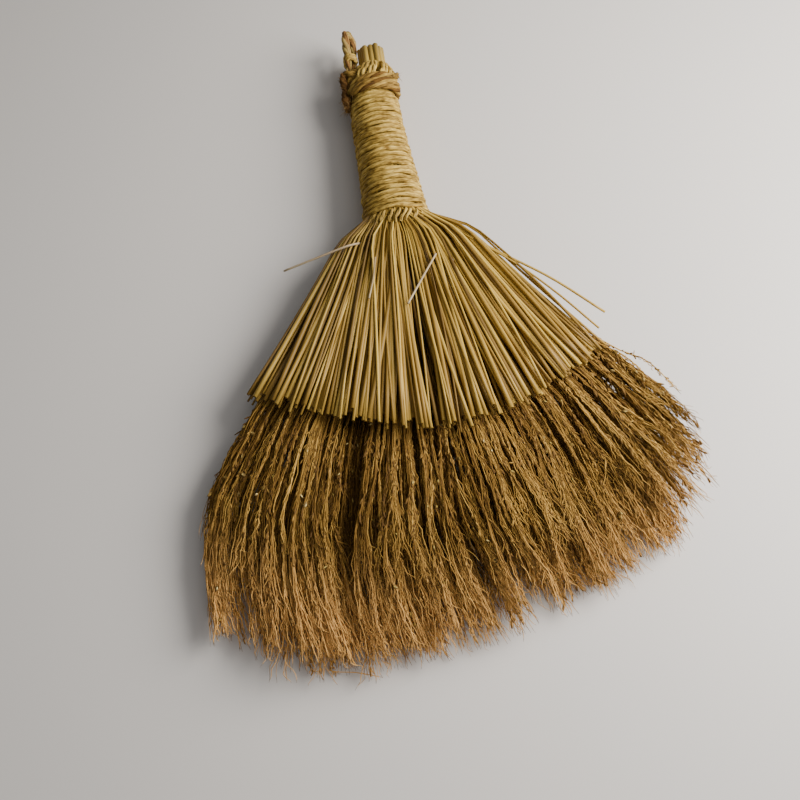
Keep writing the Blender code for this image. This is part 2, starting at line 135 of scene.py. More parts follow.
short_branch_share = 0.2
long_branch_share = 0.1
long_branch_reach = 1.03
fibre_spread = 3.8 * MM
fibre_jitter = 0.24 * MM
fibre_widths = (0.45, 0.95)
frizz_spread = 6.0 * MM
frizz_curls = (0.4, 2.2)
frizz_widths = (0.3, 0.6)
twig_lengths = (2.4, 6.0)
twig_widths = (0.8, 1.6)
husk_lengths = (2.4, 4.4)
husk_widths = (1.4, 2.4)
husk_lift = 1.4 * MM
brush_gap_drop = 1.1
brush_gap_shade = 0.4
brush_gap_u = -0.41
brush_gap_width = 0.1
brush_side = 139.0 * MM
brush_low = -210.0 * MM
brush_top_room = 2.5 * MM
squeeze_side_share = 0.6
squeeze_low_share = 0.4
fibre_stations = 13
hair_stations = 6
stem_stations = 6
stem_step = 1.1 * MM
branch_stations = 15

# Cords and ropes
cord_radius = 1.73 * MM
winding_low_y = 3.2 * MM
winding_top_y = 105.5 * MM
winding_turns = 27
winding_points = 72
winding_waver = 0.25 * MM
winding_wander = 0.3 * MM
winding_ply = 1.2 * MM
winding_ply_out = 0.42 * MM
winding_ply_pitch = 36.0 * MM
winding_y = np.array((0.0, 4.0, 10.0, 17.0, 29.0, 48.0, 67.0, 96.0, 100.0, 104.0)) * MM
winding_radii = np.array((21.7, 21.3, 20.6, 19.9, 19.1, 18.1, 17.4, 16.5, 14.9, 14.1)) * MM
collar_radius = 15.8 * MM
collar_rope = 4.6 * MM
collar_start_y = 103.6 * MM
collar_end_y = 112.0 * MM
collar_turns = 2.25
collar_end_angle = math.radians(60.0)
collar_end_length = 9.5 * MM
tie_radius = 9.95 * MM
tie_cord = 1.5 * MM
tie_places = {"upper": 70.0 * MM, "lower": 14.0 * MM}
shoulder_stitches = 20
shoulder_angles = np.radians((-140.0, 126.0))
shoulder_cord = 2.9 * MM
neck_stitches = 31
neck_cord = 2.15 * MM
stitch_ply_pitch = 16.0 * MM

# The hanging loop, its knot and the tail
loop_x = -14.6 * MM
loop_rise = 2.0 * MM
loop_pivot_y = 127.2 * MM
loop_turn = math.radians(61.0)
loop_rope = 5.2 * MM
loop_foot = 3.1 * MM
loop_wide = 4.7 * MM
loop_arc_y = 25.2 * MM
loop_lean = 1.2 * MM
knot_floor_y = 112.4 * MM
knot_top_y = 123.6 * MM
knot_half_width = 5.0 * MM
knot_half_depth = 7.4 * MM
tail_rope = 5.0 * MM

# The way up, across which the sections of straws and strands are set
upward = (0, 0, 1)

core_low, core_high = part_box("handle_straws")
origin = np.array(((core_low.x + core_high.x) / 2.0, core_high.y - handle_straws_top_y, 0.0))
handle_slope = (neck_height - collar_height) / collar_y


def axis_height(y):
    """Height of the handle's axis over the floor at y above the neck."""
    return neck_height - handle_slope * np.maximum(y, 0.0)


def round_handle(radius, angle, y):
    """Points round the handle, from the neck: angle 0 is the right, a quarter turn is the top."""
    bowed = np.interp(y, bow_y, bow_x)
    rise = radius * np.sin(angle)
    return np.stack(np.broadcast_arrays(bowed + radius * np.cos(angle), y - row_tilt * rise,
                                        axis_height(y) + rise), axis=-1)


def mix(first, second, share):
    return first + (second - first) * share


def ease(share):
    share = np.clip(share, 0.0, 1.0)
    return share * share * (3.0 - 2.0 * share)


def between(low, high, size):
    """Random lengths between two that are given in millimetres."""
    return rng.uniform(low, high, size) * MM


def fan_angle(u, radius):
    """Angle from -Y at u, from -1 at the skirt's left side to 1 at its right, the same at every radius."""
    return mix(skirt_angles[0], skirt_angles[1], (u + 1.0) / 2.0)


def brush_angle(u, radius):
    """Angle from -Y at u in the brush, whose sides draw in beyond the skirt."""
    left = np.interp(radius, side_radii, left_side_angles)
    right = np.interp(radius, side_radii, right_side_angles)
    return mix(left, right, (u + 1.0) / 2.0)


def fan_points(u, radius, z, angle_of=fan_angle):
    angle = angle_of(u, radius)
    return np.stack(np.broadcast_arrays(radius * np.sin(angle), -radius * np.cos(angle), z), axis=-1)


def outline(u):
    """Share of the fan's half thickness at u."""
    return (1.0 - np.minimum(1.0, np.abs(u)) ** 2.5) ** 0.4


def brush_height(u, v, radius):
    """Height in the brush at v, from -1 at its underside to 1 at its top."""
    out = np.clip((radius - skirt_radius) / (brush_radius - skirt_radius), 0.0, 1.0)
    middle = mix(skirt_middle_height, brush_middle_height, out)
    low = mix(8.5 * MM, brush_floor, out)
    high = mix(skirt_top - 6.0 * MM, brush_top, out)
    return middle + outline(u) * np.where(v > 0.0, v * (high - middle), v * (middle - low))


# Modelling helpers

def deselect_all():
    if bpy.context.mode != "OBJECT":
        bpy.ops.object.mode_set(mode="OBJECT")
    bpy.ops.object.select_all(action="DESELECT")


def pick_faces(piece, chosen):
    """Select only the faces that chosen(centre, normal) names, in edit mode."""
    bpy.ops.mesh.select_all(action="DESELECT")
    bpy.ops.object.mode_set(mode="OBJECT")
    for face in piece.data.polygons:
        face.select = chosen(face.center, face.normal)
    bpy.ops.object.mode_set(mode="EDIT")
    bpy.ops.mesh.select_mode(type="FACE")


def cut_stations(stations):
    """Cut the piece in edit mode into even lengths along Z."""
    for station in range(1, stations - 1):
        bpy.ops.mesh.select_all(action="SELECT")
        bpy.ops.mesh.bisect(plane_co=(0.0, 0.0, station / (stations - 1)), plane_no=(0.0, 0.0, 1.0))


def read_blank(piece, stations):
    """Take a blank, 1 wide and 1 long, out of the scene as arrays."""
    data = piece.data
    points = np.array([vertex.co[:] for vertex in data.vertices])
    ring = np.clip(np.rint(points[:, 2] * (stations - 1)).astype(int), 0, stations - 1)
    blank = {
        "x": points[:, 0],
        "y": points[:, 1],
        "deep": points[:, 2] - ring / (stations - 1),
        "ring": ring,
        "loops": np.array([vertex for face in data.polygons for vertex in face.vertices]),
        "totals": np.array([len(face.vertices) for face in data.polygons]),
        "stations": stations,
    }
    bpy.data.objects.remove(piece)
    return blank


def fibre_blank(stations):
    """A three-sided fibre, drawn out to a fine tip."""
    deselect_all()
    bpy.ops.mesh.primitive_cylinder_add(vertices=3, radius=0.5, depth=1.0, location=(0.0, 0.0, 0.5))
    bpy.ops.object.transform_apply(location=True, rotation=True, scale=True)
    piece = bpy.context.object
    bpy.ops.object.mode_set(mode="EDIT")
    cut_stations(stations)
    pick_faces(piece, lambda centre, normal: normal.z > 0.9)
    bpy.ops.transform.resize(value=(0.35, 0.35, 1.0))
    bpy.ops.object.mode_set(mode="OBJECT")
    return read_blank(piece, stations)


def straw_blank(stations, sides):
    """A round straw whose cut end is hollow."""
    deselect_all()
    bpy.ops.mesh.primitive_cylinder_add(vertices=sides, radius=0.5, depth=1.0, location=(0.0, 0.0, 0.5))
    bpy.ops.object.transform_apply(location=True, rotation=True, scale=True)
    piece = bpy.context.object
    bpy.ops.object.mode_set(mode="EDIT")
    cut_stations(stations)
    pick_faces(piece, lambda centre, normal: normal.z > 0.9)
    bpy.ops.mesh.inset(thickness=0.16, depth=0.0)
    bpy.ops.mesh.extrude_region_move(TRANSFORM_OT_translate={"value": (0.0, 0.0, -0.009)})
    bpy.ops.object.mode_set(mode="OBJECT")
    return read_blank(piece, stations)


def husk_blank():
    """A small seed husk, pointed at both ends."""
    deselect_all()
    bpy.ops.mesh.primitive_uv_sphere_add(segments=6, ring_count=4, radius=0.5, location=(0.0, 0.0, 0.5))
    bpy.ops.object.transform_apply(location=True, rotation=True, scale=True)
    piece = bpy.context.object
    bpy.ops.object.mode_set(mode="EDIT")
    bpy.ops.mesh.select_all(action="SELECT")
    bpy.ops.transform.resize(value=(1.0, 0.55, 1.0), center_override=(0.0, 0.0, 0.5))
    bpy.ops.object.mode_set(mode="OBJECT")
    return read_blank(piece, 5)


def unit(vectors):
    return vectors / np.maximum(np.linalg.norm(vectors, axis=-1, keepdims=True), 1e-12)


def lay(name, parts, along_of=None):
    """One mesh of blanks laid along routes. Each part is (blank, routes, widths, tints, up).

    along_of gives the value "along" from the points' places, which otherwise runs from 0 to 1 on each strand.
    """
    corners = []
    loops = []
    totals = []
    tints = []
    alongs = []
    piths = []
    maps = []
    strands = sum(len(part[1]) for part in parts)
    first_vertex = 0
    first_strand = 0
    for blank, routes, widths, tint, up in parts:
        count, stations = routes.shape[:2]
        ring = blank["ring"]
        ahead = unit(np.gradient(routes, axis=1))
        side = unit(np.cross(ahead, np.asarray(up, float)))
        rise = np.cross(side, ahead)
        length = np.linalg.norm(np.diff(routes, axis=1), axis=-1).sum(axis=1)
        roll = rng.uniform(0.0, 2.0 * math.pi, (count, 1))
        x = blank["x"] * np.cos(roll) - blank["y"] * np.sin(roll)
        y = blank["x"] * np.sin(roll) + blank["y"] * np.cos(roll)
        wide = widths[:, ring]
        deep = blank["deep"] * length[:, None]
        points = (routes[:, ring] + side[:, ring] * (x * wide)[..., None]
                  + rise[:, ring] * (y * wide)[..., None] + ahead[:, ring] * deep[..., None])
        corners.append(points.reshape(-1, 3))
        shift = np.arange(count)[:, None] * len(ring) + first_vertex
        loops.append((blank["loops"] + shift).reshape(-1))
        totals.append(np.tile(blank["totals"], count))
        tints.append(np.repeat(tint, len(ring)))
        if along_of is None:
            alongs.append(np.tile(ring / (stations - 1), count))
        else:
            alongs.append(along_of(points).reshape(-1))
        pith = 1.0 - np.clip(2.0 * np.hypot(blank["x"], blank["y"]), 0.0, 1.0)
        piths.append(np.tile(pith, count))
        column = (first_strand + np.arange(count)[:, None] + 0.5 + 0.4 * 2.0 * blank["x"][blank["loops"]])
        row = np.tile((ring + 0.8 * pith)[blank["loops"]] / stations, (count, 1))
        maps.append(np.stack((column / strands, row), axis=-1).reshape(-1, 2))
        first_vertex += count * len(ring)
        first_strand += count
    return build_mesh(name, np.concatenate(corners), np.concatenate(loops), np.concatenate(totals),
                      {"tint": np.concatenate(tints), "along": np.concatenate(alongs),
                       "pith": np.concatenate(piths)}, np.concatenate(maps))


def build_mesh(name, points, loops, totals, values, layout):
    """A mesh object from arrays, with named values on its points and the layout of its strands."""
    data = bpy.data.meshes.new(name)
    data.vertices.add(len(points))
    data.vertices.foreach_set("co", points.astype(np.float32).reshape(-1))
    data.loops.add(len(loops))
    data.loops.foreach_set("vertex_index", loops.astype(np.int32))
    data.polygons.add(len(totals))
    starts = np.concatenate(([0], np.cumsum(totals)[:-1]))
    data.polygons.foreach_set("loop_start", starts.astype(np.int32))
    data.polygons.foreach_set("use_smooth", np.ones(len(totals), bool))
    data.update(calc_edges=True)
    for label, numbers in values.items():
        layer = data.attributes.new(label, "FLOAT", "POINT")
        layer.data.foreach_set("value", numbers.astype(np.float32))
    columns = data.uv_layers.new(name="OFBake")
    columns.data.foreach_set("uv", layout.astype(np.float32).reshape(-1))
    piece = bpy.data.objects.new(name, data)
    bpy.context.scene.collection.objects.link(piece)
    return piece


def dress(piece, material, slot, *nodes, body="broom"):
    """Give a finished piece its material and the body that it moves with, and hide the nodes that it stands
    for.
    """
    piece.data.materials.clear()
    piece.data.materials.append(material)
    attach(piece, body)
    if nodes:
        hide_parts(*nodes)
    return piece


# Materials

def node(tree, kind, **settings):
    made = tree.nodes.new(kind)
    for name, value in settings.items():
        setattr(made, name, value)
    return made


def new_group(name, inputs, outputs):
    group = bpy.data.node_groups.new(name, "ShaderNodeTree")
    for label, kind, value in inputs:
        socket = group.interface.new_socket(label, in_out="INPUT", socket_type=kind)
        socket.default_value = value
    for label, kind in outputs:
        group.interface.new_socket(label, in_out="OUTPUT", socket_type=kind)
    return group, node(group, "NodeGroupInput"), node(group, "NodeGroupOutput")


def plant_tone_group():
    """Colour of dried plant fibre: a tone for each strand, blotches, a change towards its end, and a dark
    colour near a strand's centre line, which is painted shade inside a straw's hollow cut end.
    """
    black = (0.0, 0.0, 0.0, 1.0)
    group, given, result = new_group(
        "Plant Tone",
        (("Dark", "NodeSocketColor", black), ("Middle", "NodeSocketColor", black),
         ("Light", "NodeSocketColor", black), ("End", "NodeSocketColor", black),
         ("End Share", "NodeSocketFloat", 0.0), ("Blotch Scale", "NodeSocketFloat", 60.0),
         ("Blotch Share", "NodeSocketFloat", 0.4)),
        (("Color", "NodeSocketColor"), ("Tone", "NodeSocketFloat")))
    links = group.links
    tint = node(group, "ShaderNodeAttribute", attribute_name="tint")
    along = node(group, "ShaderNodeAttribute", attribute_name="along")
    pith = node(group, "ShaderNodeAttribute", attribute_name="pith")
    place = node(group, "ShaderNodeTexCoord")
    blotch = node(group, "ShaderNodeTexNoise")
    blotch.inputs["Detail"].default_value = 3.0
    links.new(place.outputs["Object"], blotch.inputs["Vector"])
    links.new(given.outputs["Blotch Scale"], blotch.inputs["Scale"])
    tone = node(group, "ShaderNodeMix", data_type="FLOAT")
    links.new(given.outputs["Blotch Share"], tone.inputs["Factor"])
    links.new(tint.outputs["Fac"], tone.inputs[2])
    links.new(blotch.outputs["Fac"], tone.inputs[3])
    low = node(group, "ShaderNodeMapRange")
    low.inputs["From Min"].default_value = 0.05
    low.inputs["From Max"].default_value = 0.5
    high = node(group, "ShaderNodeMapRange")
    high.inputs["From Min"].default_value = 0.5
    high.inputs["From Max"].default_value = 0.95
    links.new(tone.outputs[0], low.inputs["Value"])
    links.new(tone.outputs[0], high.inputs["Value"])
    first = node(group, "ShaderNodeMix", data_type="RGBA")
    second = node(group, "ShaderNodeMix", data_type="RGBA")
    links.new(low.outputs["Result"], first.inputs["Factor"])
    links.new(given.outputs["Dark"], first.inputs[6])
    links.new(given.outputs["Middle"], first.inputs[7])
    links.new(high.outputs["Result"], second.inputs["Factor"])
    links.new(first.outputs[2], second.inputs[6])
    links.new(given.outputs["Light"], second.inputs[7])
    end = node(group, "ShaderNodeMapRange", interpolation_type="SMOOTHSTEP")
    end.inputs["From Min"].default_value = 0.5
    links.new(along.outputs["Fac"], end.inputs["Value"])
    links.new(given.outputs["End Share"], end.inputs["To Max"])
    ended = node(group, "ShaderNodeMix", data_type="RGBA")
    links.new(end.outputs["Result"], ended.inputs["Factor"])
    links.new(second.outputs[2], ended.inputs[6])
    links.new(given.outputs["End"], ended.inputs[7])
    # Painted shade: points near a strand's centre line get a dark colour. On a straw these are the inner
    # faces of its hollow cut end; the drawn-out tips of fibres and the pointed ends of husks get it too.
    hollow = node(group, "ShaderNodeMapRange")
    hollow.inputs["From Min"].default_value = 0.2
    hollow.inputs["From Max"].default_value = 0.32
    hollow.inputs["To Max"].default_value = 0.8
    links.new(pith.outputs["Fac"], hollow.inputs["Value"])
    cut = node(group, "ShaderNodeMix", data_type="RGBA")
    links.new(hollow.outputs["Result"], cut.inputs["Factor"])
    links.new(ended.outputs[2], cut.inputs[6])
    cut.inputs[7].default_value = (0.09, 0.045, 0.015, 1.0)
    links.new(cut.outputs[2], result.inputs["Color"])
    links.new(tone.outputs[0], result.inputs["Tone"])
    return group


def fine_fibre_group():
    """Fine fibres that run along a cord, from its own map: a height and a mask."""
    group, given, result = new_group(
        "Fine Fibre",
        (("Around", "NodeSocketFloat", 9.0), ("Along", "NodeSocketFloat", 300.0)),
        (("Mask", "NodeSocketFloat"), ("Height", "NodeSocketFloat")))
    links = group.links
    layout = node(group, "ShaderNodeUVMap", uv_map="UVMap")
    split = node(group, "ShaderNodeSeparateXYZ")
    links.new(layout.outputs["UV"], split.inputs["Vector"])
    around = node(group, "ShaderNodeMath", operation="MULTIPLY")
    along = node(group, "ShaderNodeMath", operation="MULTIPLY")
    links.new(split.outputs["Y"], around.inputs[0])
    links.new(given.outputs["Around"], around.inputs[1])
    links.new(split.outputs["X"], along.inputs[0])
    links.new(given.outputs["Along"], along.inputs[1])
    joined = node(group, "ShaderNodeCombineXYZ")
    links.new(around.outputs["Value"], joined.inputs["X"])
    links.new(along.outputs["Value"], joined.inputs["Y"])
    streaks = node(group, "ShaderNodeTexNoise")
    streaks.inputs["Scale"].default_value = 1.0
    streaks.inputs["Detail"].default_value = 4.0
    links.new(joined.outputs["Vector"], streaks.inputs["Vector"])
    links.new(streaks.outputs["Fac"], result.inputs["Mask"])
    links.new(streaks.outputs["Fac"], result.inputs["Height"])
    return group


plant_tone = plant_tone_group()
fine_fibre = fine_fibre_group()


def strand_material(name, dark, middle, light, end, end_share, blotch_scale, blotch_share, roughness,
                    shine):
    """Material of strands that carry their own tint."""
    made = bpy.data.materials.new(name)
    made.use_nodes = True
    tree = made.node_tree
    shader = tree.nodes["Principled BSDF"]
    tone = node(tree, "ShaderNodeGroup", node_tree=plant_tone)
    for label, colour in (("Dark", dark), ("Middle", middle), ("Light", light), ("End", end)):
        tone.inputs[label].default_value = (*colour, 1.0)
    tone.inputs["End Share"].default_value = end_share
    tone.inputs["Blotch Scale"].default_value = blotch_scale
    tone.inputs["Blotch Share"].default_value = blotch_share
    tree.links.new(tone.outputs["Color"], shader.inputs["Base Color"])
    rough = node(tree, "ShaderNodeMapRange")
    rough.inputs["To Min"].default_value = roughness + 0.12
    rough.inputs["To Max"].default_value = roughness - 0.1
    tree.links.new(tone.outputs["Tone"], rough.inputs["Value"])
    tree.links.new(rough.outputs["Result"], shader.inputs["Roughness"])
    shader.inputs["Specular IOR Level"].default_value = shine
    return made


def cord_material(name, dark, light, length, roughness, bump):
    """Material of a laid cord or rope: streaks along its plies and soft blotches."""
    made = bpy.data.materials.new(name)
    made.use_nodes = True
    tree = made.node_tree
    shader = tree.nodes["Principled BSDF"]
    fibres = node(tree, "ShaderNodeGroup", node_tree=fine_fibre)
    fibres.inputs["Along"].default_value = length / (4.0 * MM)
    place = node(tree, "ShaderNodeTexCoord")
    blotch = node(tree, "ShaderNodeTexNoise")
    blotch.inputs["Scale"].default_value = 130.0
    blotch.inputs["Detail"].default_value = 3.0
    tree.links.new(place.outputs["Object"], blotch.inputs["Vector"])
    share = node(tree, "ShaderNodeMix", data_type="FLOAT")
    share.inputs["Factor"].default_value = 0.3
    tree.links.new(fibres.outputs["Mask"], share.inputs[2])
    tree.links.new(blotch.outputs["Fac"], share.inputs[3])
    spread = node(tree, "ShaderNodeMapRange")
    spread.inputs["From Min"].default_value = 0.36
    spread.inputs["From Max"].default_value = 0.62
    tree.links.new(share.outputs[0], spread.inputs["Value"])
    colour = node(tree, "ShaderNodeMix", data_type="RGBA")
    colour.inputs[6].default_value = (*dark, 1.0)
    colour.inputs[7].default_value = (*light, 1.0)
    tree.links.new(spread.outputs["Result"], colour.inputs["Factor"])
    tree.links.new(colour.outputs[2], shader.inputs["Base Color"])
    relief = node(tree, "ShaderNodeBump")
    relief.inputs["Strength"].default_value = bump
    relief.inputs["Distance"].default_value = 0.3 * MM
    tree.links.new(fibres.outputs["Height"], relief.inputs["Height"])
    tree.links.new(relief.outputs["Normal"], shader.inputs["Normal"])
    shader.inputs["Roughness"].default_value = roughness
    shader.inputs["Specular IOR Level"].default_value = 0.15
    return made


# The skirt

def straw_routes(count, side, depth):
    """Straws of one layer of the skirt's front (side 1) or back (-1): routes, widths and places.

    Each starts under the winding, is drawn in by the stitches, and then lies on its own line of the spread.
    """
    u = (np.arange(count) + 0.5) / count * 2.0 - 1.0
    u = np.clip(u + rng.uniform(-1.0, 1.0, count) / count, -0.995, 0.995)
    end_u = u + rng.normal(0.0, end_scatter, count) / count
    end_u = np.clip(end_u + clump_share * np.sin(u * clump_waves + depth / MM), -1.0, 1.0)
    turn = side * np.arccos(np.clip(u + rng.normal(0.0, turn_scatter, count) / count, -1.0, 1.0))
    sunk = between(0.0, straw_sink, count) + depth * sink_share
    start = round_handle(neck_radius - sunk, turn, straw_start_y)
    if side > 0:
        length = np.interp(fan_angle(end_u, skirt_radius), skirt_edge_angles, skirt_edge_radii)
        length = length - depth * skirt_edge_rise
        reach = skirt_top - front_rim - skirt_middle_height
    else:
        length = skirt_radius - depth * 0.2
        reach = skirt_middle_height - back_rim
    length = length + rng.normal(0.0, length_scatter, count)
    round_share = np.sqrt(1.0 - u * u)
    height = skirt_middle_height + side * (reach * outline(np.clip(end_u, -0.99, 0.99)) - depth * round_share)
    height += side * rng.uniform(*height_scatter, count) * MM
    end = fan_points(end_u, length, np.maximum(height, straw_floor))
    angle = fan_angle(end_u, length)
    across = np.stack((np.cos(angle), np.sin(angle), np.zeros(count)), axis=-1)
    end -= across * (depth * u)[:, None]
    share = np.linspace(0.0, 1.0, straw_stations)[None, :, None] ** 2
    spread_y = mix(spread_left_y, spread_right_y, (end_u + 1.0) / 2.0)
    line_start = start.copy()
    line_start[:, 0] = end[:, 0] * (spread_y - start[:, 1]) / (spread_y - end[:, 1])
    astray = crossing * np.where(rng.random(count) < astray_share, astray_more, 1.0)
    line_start[:, 0] += rng.normal(0.0, astray, count) * round_share
    drawn_in = 1.0 - ease(share / drawn_in_share)
    routes = mix(line_start[:, None], end[:, None], share) + (start - line_start)[:, None] * drawn_in
    swell = np.sin(np.clip(share * 2.5, 0.0, 1.0) * math.pi) * neck_swell * round_share[:, None, None]
    routes += side * swell * (0.0, 0.0, 1.0)
    sway = np.sin(share * math.pi) * rng.normal(0.0, straw_sway, (count, 1, 1)) * across[:, None]
    full = between(*straw_widths, count)
    slim = rng.random(count) < slim_share
    full[slim] = between(*slim_widths, slim.sum())
    widths = full[:, None] * mix(thin_start_share, 1.0, ease(share[..., 0] * 1.8))
    return origin + routes + sway, widths, u


def corner_straws(side):
    """Straws stacked under the skirt's left (-1) or right (1) corner. The right ones end further in."""
    u = side * rng.uniform(*corner_places, corner_count)
    turn = (1 - side) * math.pi / 2.0 + rng.uniform(-0.4, 0.4, corner_count)
    start = round_handle(neck_radius - 2.0 * MM, turn, 8.0 * MM)
    shorter = rng.uniform(0.0, corner_shorter, corner_count) + right_shorter * (side + 1)
    height = between(*corner_heights, corner_count)
    end = fan_points(u, skirt_radius - shorter * MM, height)
    share = np.linspace(0.0, 1.0, straw_stations)[None, :, None]
    routes = mix(start[:, None], end[:, None], share)
    routes[..., 0] -= side * corner_bend * MM * np.sin(share[..., 0] * math.pi)
    taper = mix(thin_start_share, 1.0, ease(share[..., 0] * 2.0))
    widths = between(*corner_widths, (corner_count, 1)) * taper
    return origin + routes, widths


def make_skirt(blank, material):
    """The straws of every layer, gathered into the sheaves that they stand for."""
    for side, layers, sheaves, label in ((1, skirt_layers_front, front_sheaves, "front"),
                                         (-1, skirt_layers_back, back_sheaves, "back")):
        gathered = [[] for _ in range(sheaves)]
        for layer, (count, depth) in enumerate(layers):
            routes, widths, u = straw_routes(count, side, depth * MM)
            # Painted shade: the lower layers get darker tints, as shade under the straws above them, and
            # straws towards the skirt's left side get darker tints, as shade on the side away from the light.
            tints = rng.normal(0.6 - 0.17 * layer, 0.33, count) - 0.3 * ease(-1.6 * u - 0.5)
            tints = np.clip(tints, 0.0, 1.0)
            home = np.clip(((u + 1.0) / 2.0 * sheaves).astype(int), 0, sheaves - 1)
            for index in range(sheaves):
                chosen = home == index
                gathered[index].append((blank, routes[chosen], widths[chosen], tints[chosen], upward))
        if side > 0:
            for corner in (-1, 1):
                routes, widths = corner_straws(corner)
                tints = rng.uniform(0.1, 0.7, corner_count)
                gathered[0 if corner < 0 else -1].append((blank, routes, widths, tints, upward))
        for index, parts in enumerate(gathered):
            piece = lay(f"{label}_straws_{index + 1:02d}", parts)
            dress(piece, material, "cut_straw", f"{label}_straw_sheaf_{index + 1:02d}")


# The brush

def wave(count, stations, spans, least, most):
    """Smooth random wander along strands, 0 at their start."""
    share = np.linspace(0.0, 1.0, stations)[None, :]
    total = np.zeros((count, stations))
    for span in spans:
        phase = rng.uniform(0.0, 2.0 * math.pi, (count, 1))
        size = rng.uniform(least, most, (count, 1)) / len(spans)
        total += size * (np.sin(share * span * 2.0 * math.pi + phase) - np.sin(phase))
    return total * ease(share * 2.0)


def tip_radius(u):
    """How far the brush reaches from the neck at u."""
    radius = np.full(np.shape(u), brush_radius)
    for _ in range(3):
        radius = np.interp(brush_angle(u, radius), tip_angles, tip_radii)
    return radius


def brush_share(points):
    """How far out in the brush a place lies, from 0 at the skirt's edge to 1 at the tips."""
    out = np.hypot(points[..., 0] - origin[0], points[..., 1] - origin[1])
    return np.clip((out - brush_start) / (brush_radius - brush_start), 0.0, 1.0)


def on_branches(routes, home, place):
    """Points at shares of their own branch's route."""
    step = np.clip(place, 0.0, 1.0) * (routes.shape[1] - 1)
    low = np.minimum(step.astype(int), routes.shape[1] - 2)
    part = (step - low)[..., None]
    return routes[home[:, None], low] * (1.0 - part) + routes[home[:, None], low + 1] * part


def side_strands(routes, home, leave, last, stations, spread, power):
    """Strands that leave their branch and drift from it by up to their spread."""
    count = len(home)
    place = mix(leave[:, None], last[:, None], np.linspace(0.0, 1.0, stations)[None, :])
    points = on_branches(routes, home, place)
    beyond = np.maximum(place - 1.0, 0.0)[..., None]
    points = points + unit(routes[home, -1] - routes[home, -3])[:, None] * beyond * brush_radius * 0.6
    drift = ease((place - leave[:, None]) / (1.0 - leave[:, None] + 0.1)) * np.clip(place, 0.0, 1.2) ** power
    off = np.clip(rng.normal(0.0, 1.0, (count, 2)), -1.8, 1.8) * spread
    points[..., 0] += drift * off[:, :1]
    points[..., 2] += drift * off[:, 1:] * 0.6
    return points


def panicle_branches(row, index):
    """Routes, widths and tints of one panicle's branches, round its stalk's place in the fan."""
    count = stalk_rows[row]
    fill = brush_fill_share * mix(count / max(stalk_rows), 1.0, row_even_share)
    u0 = ((index + 0.5) / count * 2.0 - 1.0) * fill
    v0 = (row / (len(stalk_rows) - 1) * 2.0 - 1.0) * row_depth_share
    size = (branches_per_head, 1)
    share = np.linspace(0.0, 1.0, branch_stations)[None, :]
    apart = rng.uniform(-1.0, 1.0, branches_per_head)[:, None] * fill / count
    bu = np.clip(u0 + apart[:, 0], -1.0, 1.0)
    gap = np.exp(-((bu - brush_gap_u) / brush_gap_width) ** 2)
    depth = v0 + rng.uniform(-branch_depth_share, branch_depth_share, branches_per_head)
    bv = np.clip(depth - brush_gap_drop * gap * (v0 > 0.0), -1.0, 1.0)
    start = between(*branch_starts, size)
    reach = tip_radius(bu)[:, None] * (1.0 - short_branch_share * rng.random(size) ** 1.4)
    reach *= np.where(rng.random(size) < long_branch_share, long_branch_reach, 1.0)
    radius = mix(start, reach, share)
    drawn = mix(*branch_splay, ease((radius - brush_start) / (brush_radius - brush_start)))
    spread_u = np.clip(u0 + apart * drawn, -1.0, 1.0)
    spread_u = np.sign(spread_u) * np.abs(spread_u) ** 0.88
    spread_u = spread_u + wave(branches_per_head, branch_stations, (1.0, 2.3), 0.0, 0.02)
    routes = fan_points(spread_u, radius, brush_height(spread_u, bv[:, None], radius), brush_angle)
    routes[..., 0] += wave(branches_per_head, branch_stations, (3.1, 5.3), 0.2 * MM, 1.0 * MM)
    routes[..., 2] += wave(branches_per_head, branch_stations, (1.3, 2.7, 5.1), 0.0, 1.8 * MM)
    # Painted shade: panicles in the lower rows get darker tints, as shade under the rows above, and branches
    # dropped into the gap at the brush's left get darker tints, as shade in the gap. The tints also grow
    # darker towards the brush's sides.
    head_tint = rng.normal(0.52 + 0.1 * v0 - 0.16 * u0 ** 2, 0.08)
    tints = np.clip(rng.normal(head_tint, 0.22, branches_per_head) - brush_gap_shade * gap, 0.0, 1.0)
    return routes, between(*branch_widths, size) * mix(1.0, 0.4, share), tints


def panicle_fibres(branches, branch_tints):
    """Routes, widths and tints of the fine fibres that leave a panicle's branches."""
    home = np.repeat(np.arange(branches_per_head), fibres_per_branch)
    count = len(home)
    leave = rng.random(count) ** 0.75 * 0.82
    last = np.minimum(1.04, leave + rng.uniform(0.2, 0.62, count))
    routes = side_strands(branches, home, leave, last, fibre_stations, fibre_spread, 1.4)
    routes[..., 0] += wave(count, fibre_stations, (1.7, 3.9, 6.1), 0.4 * MM, 1.7 * MM)
    routes[..., 0] += rng.normal(0.0, fibre_jitter, routes.shape[:2])
    routes[..., 2] += wave(count, fibre_stations, (2.1, 4.3), 0.3 * MM, 1.5 * MM)
    tints = np.clip(branch_tints[home] + rng.normal(0.0, 0.24, count), 0.0, 1.0)
    widths = between(*fibre_widths, (count, 1)) * mix(1.0, 0.5, np.linspace(0.0, 1.0, fibre_stations))
    return routes, widths, tints


